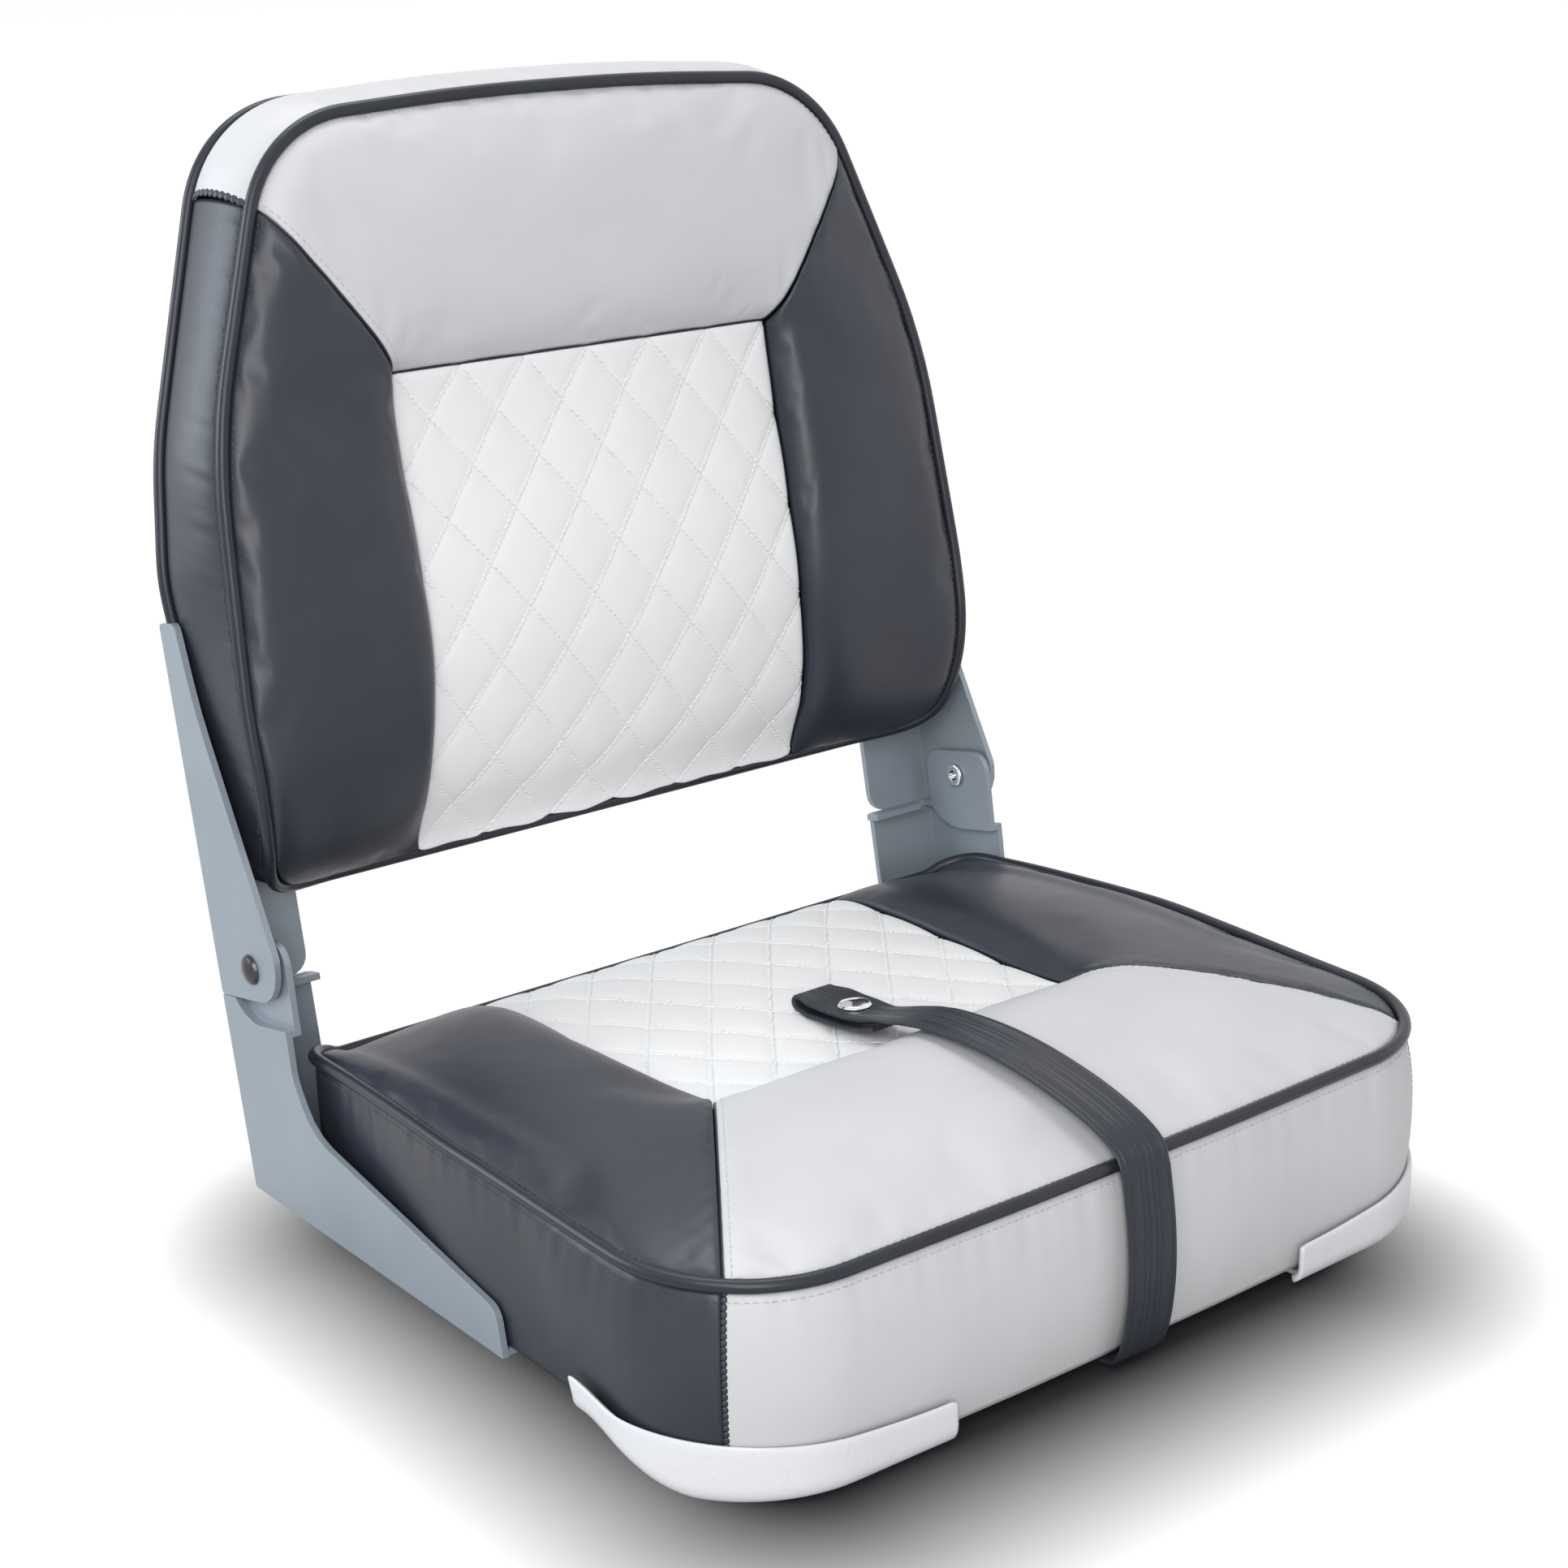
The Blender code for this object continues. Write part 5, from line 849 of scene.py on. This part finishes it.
def guard_grid(side):
    """The outer face of a guard: down its wall, round its lower edge and in along its flange."""
    line = seat_outline(side)
    start = line.where(lambda p: p[:, 1] <= GUARD_TIP_Y)
    end = line.where(lambda p: (p[:, 1] < 0) & (np.abs(p[:, 0]) <= GUARD_INNER_X))
    height = GUARD_TOPS[2] - GUARD_FEET[1] - GUARD_BEND
    wall = [(share, 0, 0) for share in np.linspace(0, 1, GUARD_ROWS + 1)]
    bend = [(1, turn, 0) for turn in np.linspace(0, math.pi / 2, 9)[1:]]
    flange = [(1, math.pi / 2, share) for share in np.linspace(0, 1, 5)[1:]]
    grid = []
    for fall, turn, inward in wall + bend + flange:
        above, below = fall * height, (1 - fall) * height + GUARD_BEND * (math.pi / 2 - turn)
        foot_cut = corner_cut(below, GUARD_FOOT_ROUND)
        tip_cut = GUARD_SLANT * fall + corner_cut(above, GUARD_ROUND / 2) + foot_cut
        end_cut = corner_cut(above, GUARD_ROUND) + foot_cut
        shares = np.linspace(start + tip_cut / line.length, end - end_cut / line.length, GUARD_COLUMNS + 1)
        place = line.at(shares)
        way = outward(np.column_stack([place, 0 * shares]))
        to_corner = (GUARD_TIP_Y - place[:, 1]) / (GUARD_TIP_Y - GUARD_TURN_Y)
        to_end = np.clip((SEAT_SIDE - np.abs(place[:, 0])) / (SEAT_SIDE - GUARD_INNER_X), 0, 1)
        top = np.where(place[:, 1] > GUARD_TURN_Y, mix(GUARD_TOPS[0], GUARD_TOPS[1], ease(to_corner)),
                       mix(GUARD_TOPS[1], GUARD_TOPS[2], ease(to_end)))
        foot = mix(GUARD_FEET[0], GUARD_FEET[1], ease((-0.078 - place[:, 1]) / 0.056))
        stand = GUARD_STAND - GUARD_BEND * (1 - math.cos(turn)) - (GUARD_FLANGE - GUARD_BEND) * inward
        stand -= GUARD_LIP * math.exp(-fall * height / GUARD_LIP)
        up = mix(top, foot + GUARD_BEND, fall) - GUARD_BEND * math.sin(turn)
        grid.append(np.column_stack([place, up]) + way * stand)
    return facing(np.array(grid), BOXING_HUB)


for name, side in (("left", -1), ("right", 1)):
    keep(shell(f"front_guard_{name}", guard_grid(side), GUARD, GUARD_WALL), "seat", "guard_plastic",
         f"corner_guard_{name}")


# Back cushion

back_half = back_outline(1)
back_seam = back_half.where(lambda p: p[:, 1] <= BACK_SEAM_P)
back_hem = back_half.where(lambda p: (p[:, 1] < 0.2410) & (np.abs(p[:, 0]) <= BACK_SEAM[-1][0]))
back_foot = back_half.where(lambda p: p[:, 1] <= HEM_P + 0.015)


def face_line(side, start, end, inset=EDGE, lift=0.001):
    flat = back_outline(side, inset).at(np.linspace(start, end, 300))
    return Line(on_back(flat[:, 0], flat[:, 1], np.full(len(flat), lift)))


def forward(grid):
    """The way the back's stuffing pushes: straight ahead, and downwards as the face curls to the hem."""
    turn = math.pi / 2 * 0.9 * ease((0.100 - grid[..., 2]) / 0.075)
    return np.stack([0 * turn, -np.cos(turn), -np.sin(turn)], -1)


def pushed(grid, height):
    return grid + forward(grid) * height[..., None]


def back_panels():
    made = {}
    seam = smooth(BACK_SEAM).points
    top_half, top_v, top_u = BACK_SEAM[0]
    seams = [sided(seam, side, -SEAM) for side in (-1, 1)]
    hem = chain(face_line(-1, back_hem, 1), face_line(1, 1, back_hem))
    grid, column, row = framed(hem, seams, 110, 120)
    height = 0.0030 * pillow(column) * pillow(row) + quilt(column, row, BACK_QUILT_DOWN, 0.0009)
    height += 0.0005 * np.sin(column * 2 * math.pi * 7.5 + 0.7) * np.exp(-(1 - row) / 0.05)
    height -= sewn_dip(grid, ("start", "end", "foot"), ("head",))
    made["center"] = pushed(grid, height)

    end = face_line(1, 0, back_seam).at(1)
    way = end[[0, 2]] - np.array([top_half, top_u])
    aside = unit(np.array([-way[1], 0, way[0]])) * SEAM
    near = np.array([top_half, top_v, top_u + SEAM])
    slant = [sided([near + aside, end + aside], side) for side in (-1, 1)]
    rim = chain(face_line(-1, back_seam, 0), face_line(1, 0, back_seam))
    grid, column, row = framed(rim, slant, 150, 64)
    height = back_crown(row) * mix(BACK_CROWN, BACK_CROWN_MIDDLE, pillow(column, 2.0))
    height += gather(grid, ("head",), PUCKER) + gather(grid, ("start", "end"), PUCKER, 0.010)
    height -= sewn_dip(grid, ("foot", "start", "end"), ("head",))
    made["head"] = pushed(grid, height)

    for name, side in (("left", -1), ("right", 1)):
        slant = sided([near - aside + np.array([SEAM, 0, -2 * SEAM]), end - aside], side)
        foot = pinned(Line(sided(seam, side, SEAM).points[::-1]), last=slant.at(0))
        flank = pinned(face_line(side, back_foot, back_seam), last=slant.at(1))
        hem = pinned(face_line(side, back_hem, back_foot), foot.at(0), flank.at(0))
        grid, column, row = panel(foot, flank, hem, slant, 120, 60)
        height = back_crown(row) * BACK_CROWN * build_up(column, 0.10)
        height += gather(grid, ("head", "start"), PUCKER) + gather(grid, ("end",), WIDE_PUCKER, 0.010)
        height -= sewn_dip(grid, ("foot", "end"), ("head", "start"))
        made[name] = pushed(grid, height)
    return made


BACK_HUB, BACK_SIDE_HUB, REAR_HUB = (0, 0.241, 0.16), (0, 0, 0.148), (0, 0, 0.16)
back = back_panels()
cover_panels(back, "back", BACK_HUB, leaned)

rear_half = rear_outline(1)
rear_seam = rear_half.where(lambda p: p[:, 1] <= REAR_SEAM_U)
rear_foot = rear_half.where(lambda p: p[:, 1] <= REAR_FOOT_U + REAR_FOOT_ROUND / 3)


def rear_line(side, start, end, inset=0.0, lift=0.0):
    flat = rear_outline(side, inset).at(np.linspace(start, end, 300))
    return Line(np.stack([flat[:, 0], np.full(len(flat), REAR_PIPING_V + lift), flat[:, 1]], -1))


def inner_rear_line(side, start, end):
    """The edge of the rear cover, just inside the rear welt."""
    return rear_line(side, start, end, EDGE, 0.001)


BACK_BOXING_ROWS, BACK_BOXING_STEP = 30, 0.0020


def back_boxing_grid(front_edge, rear_edge, bulge):
    count = int(front_edge.length / BACK_BOXING_STEP)
    shares = np.linspace(0, 1, count + 1)
    front_edge, rear_edge = front_edge.at(shares), rear_edge.at(shares)
    share = np.linspace(0, 1, BACK_BOXING_ROWS + 1)[:, None, None]
    span = rear_edge - front_edge
    width = np.linalg.norm(span, axis=1)[:, None]
    trim = (PIPE_RADIUS * 0.7 / width)[None]
    spot = front_edge[None] + span[None] * mix(trim, 1 - trim, share)
    away = (front_edge + rear_edge) / 2 - np.array(BACK_SIDE_HUB)
    away = unit(away * np.array([1, 0, 1]))
    edge = np.minimum(share, 1 - share) * width[None]
    wave = np.sin(shares * 260) + np.sin(shares * 171 + 2) + np.sin(shares * 97 + 4)
    pucker = PUCKER * wave[None, :, None] * np.exp(-share * width[None] / 0.010)
    dip = BOXING_DIP * np.exp(-edge / WELT_SEAM[1])
    return spot + away[None] * (bulge(spot[..., 2:3]) * pillow(share) + pucker - dip)


slit = SEWN_SLIT / back_half.length
top_front = chain(face_line(-1, back_seam - slit, 0, 0, 0), face_line(1, 0, back_seam - slit, 0, 0))
top_rear = chain(rear_line(-1, rear_seam - slit, 0), rear_line(1, 0, rear_seam - slit))
top_grid = back_boxing_grid(top_front, top_rear, lambda u: 0.0060 + 0 * u)
back_sides = {"top": leaned(facing(top_grid, BACK_SIDE_HUB))}
keep(shell("back_side_top", back_sides["top"], GREY), "back", "grey_vinyl", "back_boxing_top", fill=0.8)
for name, side in (("left", -1), ("right", 1)):
    grid = back_boxing_grid(face_line(side, back_seam + slit, back_foot, 0, 0),
                            rear_line(side, rear_seam + slit, rear_foot),
                            lambda u: 0.0035 * ease((u - 0.135) / 0.040))
    back_sides[name] = leaned(facing(grid, BACK_SIDE_HUB))
    keep(shell(f"back_side_{name}", back_sides[name], CHARCOAL), "back", "charcoal_vinyl",
         f"back_boxing_{name}", fill=0.8)

REAR_CORNER_X, REAR_FOOT_X, REAR_RISE, REAR_CROWN = 0.1500, 0.1880, 0.0018, 0.0016
EVERY_EDGE = ("foot", "head", "start", "end")


def rear_cover_grid():
    """The flat cover behind: a low crown inside the rear welt, puckered where it is sewn."""
    top_corner = rear_half.where(lambda p: np.abs(p[:, 0]) >= REAR_CORNER_X)
    foot_corner = rear_half.where(lambda p: (p[:, 1] < 0.1) & (np.abs(p[:, 0]) <= REAR_FOOT_X))
    sides = [inner_rear_line(side, foot_corner, top_corner) for side in (-1, 1)]
    foot = pinned(chain(inner_rear_line(-1, foot_corner, 1), inner_rear_line(1, 1, foot_corner)),
                  sides[0].at(0), sides[1].at(0))
    head = chain(inner_rear_line(-1, top_corner, 0), inner_rear_line(1, 0, top_corner))
    grid, column, row = framed(head, sides, 120, 110, foot)
    grid[..., 1] += REAR_RISE * (1 - np.exp(-edge_distance(grid, EVERY_EDGE) / 0.004))
    grid[..., 1] += REAR_CROWN * pillow(column) * pillow(row) + gather(grid, EVERY_EDGE, 0.00035, 0.012)
    return grid


rear_cover = leaned(facing(rear_cover_grid(), REAR_HUB))
keep(shell("back_rear_cover", rear_cover, CHARCOAL), "back", "charcoal_vinyl", "back_rear_panel")
welt("back_front_welt", (face_line(1, 0, 1, 0, 0), face_line(-1, 1, 0, 0, 0)), "back", "back_front_piping",
     (0, 1, 0), leaned)
welt("back_rear_welt", (rear_line(1, 0, 1), rear_line(-1, 1, 0)), "back", "back_rear_piping",
     (0, 1, 0), leaned)


# Seams and stitches

SEAM_RADIUS, SEAM_SINK, SEAM_STEP, SEAM_SIDES = 0.0009, 0.0007, 0.0025, 8


def seam_strip(name, edges, sink, body):
    """The dark bottom of the seams, which closes the slits between the covers."""
    verts, faces = [], []
    for edge in edges:
        line = Line(edge)
        path = line.at(np.linspace(0, 1, int(line.length / SEAM_STEP))) + sink
        faces += capped_faces(len(path), SEAM_SIDES, sum(map(len, verts)))
        verts.append(tube_points(path, SEAM_RADIUS, SEAM_SIDES, False, sink).reshape(-1, 3))
    keep(new_object(name, np.concatenate(verts), faces, PIPING), body, "piping")


def open_edges(middle, end_panel):
    """The middle panel's three seams and the two slanting ones of the panel at its end."""
    return [middle[0], middle[:, 0], middle[:, -1], end_panel[:, 0], end_panel[:, -1]]


seat_sink = np.array([0, 0, -SEAM_SINK])
back_sink = np.subtract(*leaned([[0, SEAM_SINK, 0], [0, 0, 0]]))
seam_strip("seat_seam_strip", open_edges(seat["center"], seat["front"]), seat_sink, "seat")
seam_strip("back_seam_strip", open_edges(back["center"], back["head"]), back_sink, "back")


def beside(grid, edge, distance):
    """Shares of a line that runs inside a grid at a distance from one of its edges."""
    upright, last = edge in ("start", "end"), edge in ("end", "head")
    turned = grid if upright else grid.transpose(1, 0, 2)
    turned = turned[:, ::-1] if last else turned
    steps = np.linalg.norm(np.diff(turned, axis=1), axis=-1)
    along = np.concatenate([np.zeros((len(turned), 1)), np.cumsum(steps, 1)], 1)
    shares = np.linspace(0, 1, turned.shape[1])
    inner = np.array([np.interp(distance, row, shares) for row in along])
    inner = 1 - inner if last else inner
    other = np.linspace(0, 1, len(turned))
    return (inner, other) if upright else (other, inner)


def edge_stitches(name, lines, material, body, slot, pitch=0.0034, size=(0.0024, 0.0006, 0.0005)):
    """Rows of short stitches, each beside one edge of a grid."""
    places = []
    for grid, edge, distance in lines:
        places += stitch_line(grid, *beside(grid, edge, distance), pitch)
    keep(beads(name, places, material, *size), body, slot)


edge_stitches("seat_edge_stitches", [(seat["front"], edge, 0.0030) for edge in ("start", "end", "head")],
              GREY_THREAD, "seat", "grey_vinyl")
edge_stitches("seat_bolster_stitches", [(seat[side], "head", 0.0034) for side in ("left", "right")]
              + [(boxing[side], "foot", 0.0052) for side in ("left", "right")],
              DARK_THREAD, "seat", "charcoal_vinyl")
edge_stitches("seat_boxing_stitches", [(boxing["front"], "foot", 0.0050)], GREY_THREAD, "seat", "grey_vinyl")
edge_stitches("back_edge_stitches", [(back["head"], edge, 0.0030) for edge in ("start", "end", "head")],
              GREY_THREAD, "back", "grey_vinyl")
edge_stitches("back_bolster_stitches", [(back[side], "head", 0.0034) for side in ("left", "right")]
              + [(back_sides[side], "foot", 0.0050) for side in ("left", "right")],
              DARK_THREAD, "back", "charcoal_vinyl")
edge_stitches("back_rear_stitches", [(rear_cover, edge, 0.0045) for edge in EVERY_EDGE],
              DARK_THREAD, "back", "charcoal_vinyl")

# The dark edge is cut in small scallops where it overlaps the grey strip
for name, grid, body, pitch in (("seat_scallops", boxing["front"], "seat", 0.0026),
                                ("back_scallops", back_sides["top"], "back", 0.0036)):
    edge_stitches(name, [(grid, edge, 0.0004) for edge in ("start", "end")], CHARCOAL, body,
                  "charcoal_vinyl", pitch, (pitch * 1.02, pitch * 0.95, 0.0010))


def to_even(shares):
    """The place along a crowded grid of a share of the plain one."""
    return np.interp(shares, even(0, 1, 2000), np.linspace(0, 1, 2001))


QUILT_PITCH, QUILT_SLANT, QUILT_STITCH = 0.0030, 0.42, (0.0038, 0.0009, 0.0007)


def quilt_stitches(name, grid, down, body):
    """Slanted stitches along every sewn line of a quilted cover."""
    places = []
    for start, end, sign in quilt_lines(down):
        shares = np.linspace(0.012, 0.988, 120)
        columns, rows = mix(start[0], end[0], shares), mix(start[1], end[1], shares)
        places += stitch_line(grid, to_even(columns), to_even(rows), QUILT_PITCH, QUILT_SLANT * sign, 0.0001)
    keep(beads(name, places, WHITE_THREAD, *QUILT_STITCH), body, "white_vinyl")


quilt_stitches("seat_quilt_thread", seat["center"], SEAT_QUILT_DOWN, "seat")
quilt_stitches("back_quilt_thread", back["center"], BACK_QUILT_DOWN, "back")


# Strap

STRAP, STRAP_WIDTH, STRAP_FOLD, STRAP_COLUMNS = 0.0022, 0.0260, 0.0026, 41
STRAP_PINCH, PINCH_Y, TIP_PINCH_Y, PINCH_REACH = 0.20, -0.013, 0.024, 0.012
GROOVE_PLACES, GROOVE_REACH, GROOVE_TOP, GROOVE_UNDER = (0.80, 0.34, 0.14), 0.030, 0.00055, 0.00030

# The strap's line as depths and heights: up from under the pan, over the seat, to the tip and back under it
LOWER = [(-0.1215, 0.0043), (-0.1360, 0.0043), (-0.1545, 0.0043), (-0.1645, 0.0068), (-0.1698, 0.0170),
         (-0.1724, 0.0340), (-0.1728, 0.0500), (-0.1716, 0.0660), (-0.1694, 0.0800), (-0.1682, 0.0865)]
MIDDLE = [(-0.1682, 0.0865), (-0.1648, 0.0948), (-0.1570, 0.1003), (-0.1440, 0.1052), (-0.1250, 0.1098),
          (-0.1000, 0.1134), (-0.0750, 0.1144), (-0.0500, 0.1126), (-0.0350, 0.1098)]
TIP = [(-0.0350, 0.1098), (-0.0210, 0.1058), (-0.0080, 0.1018), (0.0000, 0.1004), (0.0080, 0.0998),
       (0.0160, 0.0992), (0.0260, 0.0990), (0.0360, 0.0984)]
RETURN = [(0.0260, 0.0936), (0.0160, 0.0948), (0.0080, 0.0954), (0.0000, 0.0960), (-0.0080, 0.0974),
          (-0.0160, 0.1000)]


def strap_path(points):
    return smooth(points, 0.0012).points


def strap_rings(path):
    """Cross-sections of a grooved strap of folded vinyl, pinched before the snap and at its tip."""
    ahead = unit(np.gradient(path, axis=0))
    normal = np.stack([-ahead[:, 1], ahead[:, 0]], -1)
    across = np.concatenate([np.linspace(-1, 1, STRAP_COLUMNS), np.linspace(1, -1, STRAP_COLUMNS)[1:-1]])
    y = path[:, 0]
    pinch = 1 - STRAP_PINCH * np.exp(-((y - PINCH_Y) / PINCH_REACH) ** 2)
    pinch -= STRAP_PINCH * ease((y - TIP_PINCH_Y) / PINCH_REACH)
    count = len(across)
    upper = np.arange(count) < STRAP_COLUMNS
    edge = 1 - np.abs(across)
    thick = STRAP / 2 * (0.35 + 0.65 * np.clip(edge / 0.10, 0, 1) ** 0.5)
    groove = sum(np.exp(-((np.abs(across) - place) / GROOVE_REACH) ** 2) for place in GROOVE_PLACES)
    lift = np.where(upper, thick - GROOVE_TOP * groove, -thick + GROOVE_UNDER * groove)
    rings = np.empty((len(path), count, 3))
    rings[..., 0] = across[None] * (STRAP_WIDTH / 2 * pinch)[:, None]
    rings[..., 1:] = path[:, None] + normal[:, None] * lift[None, :, None]
    return rings


def strap_piece(name, lines):
    rings = strap_rings(np.concatenate(lines))
    piece = closed_piece(name, rings.reshape(-1, 3), capped_faces(*rings.shape[:2]), STRAP_VINYL)
    piece.data.set_sharp_from_angle(angle=math.radians(60))
    return piece


lower, middle, tip = strap_path(LOWER), strap_path(MIDDLE), strap_path(TIP)
fold_middle = np.array(TIP[-1]) - np.array([0, STRAP_FOLD])
fold = [fold_middle + STRAP_FOLD * np.array([math.sin(turn), math.cos(turn)])
        for turn in np.linspace(0, math.pi, 14)[1:-1]]
tip = np.concatenate([tip, fold, strap_path(RETURN)])
cut = len(middle) // 2
first = strap_piece("strap_rising", (lower, middle[1:cut + 1]))
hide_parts("strap_lower", "strap_middle")
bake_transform(first)
second = strap_piece("strap_lying", (middle[cut:], tip[1:]))
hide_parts("strap_tip")
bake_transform(second)


# Rigid parts keep their shape and get their finish

SHARP = math.radians(30)


def dress(piece, material, bevel):
    """Give a solid its material, its flat faces and its rounded edges."""
    piece.data.materials.clear()
    piece.data.materials.append(material)
    put(piece.modifiers.new("weld", "WELD"), merge_threshold=0.00001)
    put(piece.modifiers.new("planes", "DECIMATE"), decimate_type="DISSOLVE", angle_limit=math.radians(1))
    put(piece.modifiers.new("edges", "BEVEL"), width=bevel, segments=3, limit_method="ANGLE",
        angle_limit=SHARP)
    put(piece.modifiers.new("normals", "WEIGHTED_NORMAL"), keep_sharp=True)
    piece.data.shade_smooth()
    piece.data.set_sharp_from_angle(angle=SHARP)


# The finish and the edge's round of each solid, by a part of its name; the first that fits counts
FINISHES = [("screw", ZINC, 0.0002), ("mounting_tee", ZINC, 0.0002), ("bracket", STEEL, 0.0011),
            ("pivot_rivet_left", DARK_STEEL, 0.0002), ("pivot_rivet_right", CHROME, 0.0002),
            ("pivot_washer", NYLON, 0.0001), ("snap", CHROME, 0.0002), ("seat_pan", PAN, 0.0005),
            ("back_board", PAN, 0.0005)]
for name in nodes:
    finish = next((entry[1:] for entry in FINISHES if entry[0] in name), None)
    if finish:
        dress(nodes[name], *finish)


# Camera, light and floor

SKY_COLOUR, SKY_STRENGTH = (0.93, 0.96, 1.0, 1), 0.36
CAMERA_PLACE, CAMERA_LENS = (-0.7299, -0.8763, 0.5812), 65.9
CAMERA_TURNS = [math.radians(angle) for angle in (-38.1, 18.3, -1.1)]


def place_camera():
    """The photo's view: a place, then a turn round the seat, a tilt down and a slight roll."""
    camera = bpy.data.objects.new("camera", bpy.data.cameras.new("camera"))
    bpy.context.scene.collection.objects.link(camera)
    put(camera.data, lens=CAMERA_LENS, sensor_width=36, clip_start=0.05)
    azimuth, elevation, roll = CAMERA_TURNS
    turned = (Matrix.Rotation(azimuth, 4, "Z") @ Matrix.Rotation(math.pi / 2 - elevation, 4, "X")
              @ Matrix.Rotation(roll, 4, "Z"))
    camera.matrix_world = Matrix.Translation(CAMERA_PLACE) @ turned
    bpy.context.scene.camera = camera


def lamp(name, place, target, size, power, size_y=None, colour=(1, 1, 1)):
    data = put(bpy.data.lights.new(name, "AREA"), shape="RECTANGLE", size=size, size_y=size_y or size,
               energy=power, color=colour)
    light = put(bpy.data.objects.new(name, data), location=place)
    bpy.context.scene.collection.objects.link(light)
    way = Vector(target) - light.location
    light.rotation_euler = way.to_track_quat("-Z", "Y").to_euler()


place_camera()
bpy.context.scene.view_settings.view_transform = "Standard"

lamp("key", (-1.35, -1.10, 1.45), (0, 0, 0.25), 1.1, 19)
lamp("front", (-1.15, -1.60, 0.75), (0, 0, 0.25), 0.5, 12, 0.7)
lamp("fill", (1.5, -0.9, 0.8), (0, 0, 0.2), 1.0, 2)
lamp("top", (0.2, 0.5, 2.0), (0, 0, 0.1), 1.1, 15)
lamp("side", (-1.25, 1.15, 0.80), (0, 0.1, 0.35), 0.8, 13.5, 0.9, (0.82, 0.91, 1.0))


def seen_rays(tree):
    """1 where the camera sees a thing, in a mirror or through glass too, and 0 where it only sheds light."""
    rays = step(tree, "LightPath")
    total = rays["Is Camera Ray"]
    for ray in ("Is Glossy Ray", "Is Transmission Ray"):
        total = number_step(tree, "MAXIMUM", total, rays[ray])
    return total


def light_world():
    """A pale sky for light, and plain white where it is seen."""
    world = bpy.data.worlds.new("studio")
    bpy.context.scene.world = world
    world.use_nodes = True
    tree = world.node_tree
    fill(tree, tree.nodes["Background"], {"Color": SKY_COLOUR, "Strength": SKY_STRENGTH})
    sky = tree.nodes["Background"].outputs["Background"]
    white = step(tree, "Background", {"Color": (1, 1, 1, 1), "Strength": 1.0})["Background"]
    either = step(tree, "MixShader", {"Fac": seen_rays(tree), 1: sky, 2: white})["Shader"]
    fill(tree, tree.nodes["World Output"], {"Surface": either})


light_world()


# The shadow painted on the floor where the seat stands: its middle, its half sizes, and how far and how it
# fades to white
PAINTED_SHADOW_MIDDLE, PAINTED_SHADOW_HALF, PAINTED_SHADOW_ROUND = (-0.020, -0.006, 0), (0.124, 0.128), 0.026
PAINTED_SHADOW_FADE, FADE_POWER = 0.100, 1.35
# The floor's colour for the light it sheds and where it is seen; where seen it is dark, and a glow that
# grows away from the seat paints it white, so the shadow under the seat is painted
FLOOR_LIT, FLOOR_SEEN, FLOOR_HALF = (0.60, 0.60, 0.60), (0.045, 0.045, 0.048), 9


def painted_shadow_fade(tree):
    """0 under the seat, rising to 1 at the end of its painted shadow, which is set by place on the floor and
    not cast by the lamps.
    """
    place = tree.nodes.new("ShaderNodeTexCoord").outputs["Object"]
    spot = vector_step(tree, "ABSOLUTE", vector_step(tree, "SUBTRACT", place, PAINTED_SHADOW_MIDDLE))
    spot = vector_step(tree, "SUBTRACT", spot, (*PAINTED_SHADOW_HALF, 0))
    spot = vector_step(tree, "MAXIMUM", spot, (0, 0, 0))
    spot = vector_step(tree, "MULTIPLY", spot, (1, 1, 0))
    away = number_step(tree, "SUBTRACT", vector_step(tree, "LENGTH", spot), PAINTED_SHADOW_ROUND)
    fade = spread(tree, away, 0.0, 1 / PAINTED_SHADOW_FADE)
    fade = number_step(tree, "MINIMUM", number_step(tree, "MAXIMUM", fade, 0.0), 1.0)
    return number_step(tree, "POWER", fade, FADE_POWER)


def lay_floor():
    """A floor that fades from a painted shadow under the seat to plain white where it is seen, by a glow
    that grows with the distance from the seat.
    """
    material = bpy.data.materials.new("floor")
    material.use_nodes = True
    tree = material.node_tree
    shader = tree.nodes["Principled BSDF"]
    seen = seen_rays(tree)
    fill(tree, shader, {"Roughness": 0.9, "Specular IOR Level": 0.0,
                        "Base Color": ramp(tree, seen, 0, 1, FLOOR_LIT, FLOOR_SEEN)})
    # The glow paints the floor white where it is seen and leaves the painted shadow dark near the seat
    strength = number_step(tree, "MULTIPLY", seen, painted_shadow_fade(tree))
    glow = step(tree, "Emission", {"Strength": strength})["Emission"]
    total = step(tree, "AddShader", {0: shader.outputs["BSDF"], 1: glow})["Shader"]
    fill(tree, tree.nodes["Material Output"], {"Surface": total})
    corners = [(x * FLOOR_HALF, y * FLOOR_HALF, 0) for x, y in ((-1, -1), (1, -1), (1, 1), (-1, 1))]
    floor = new_object("floor", corners, [(0, 1, 2, 3)], material)
    floor.location.z = -0.0002


lay_floor()
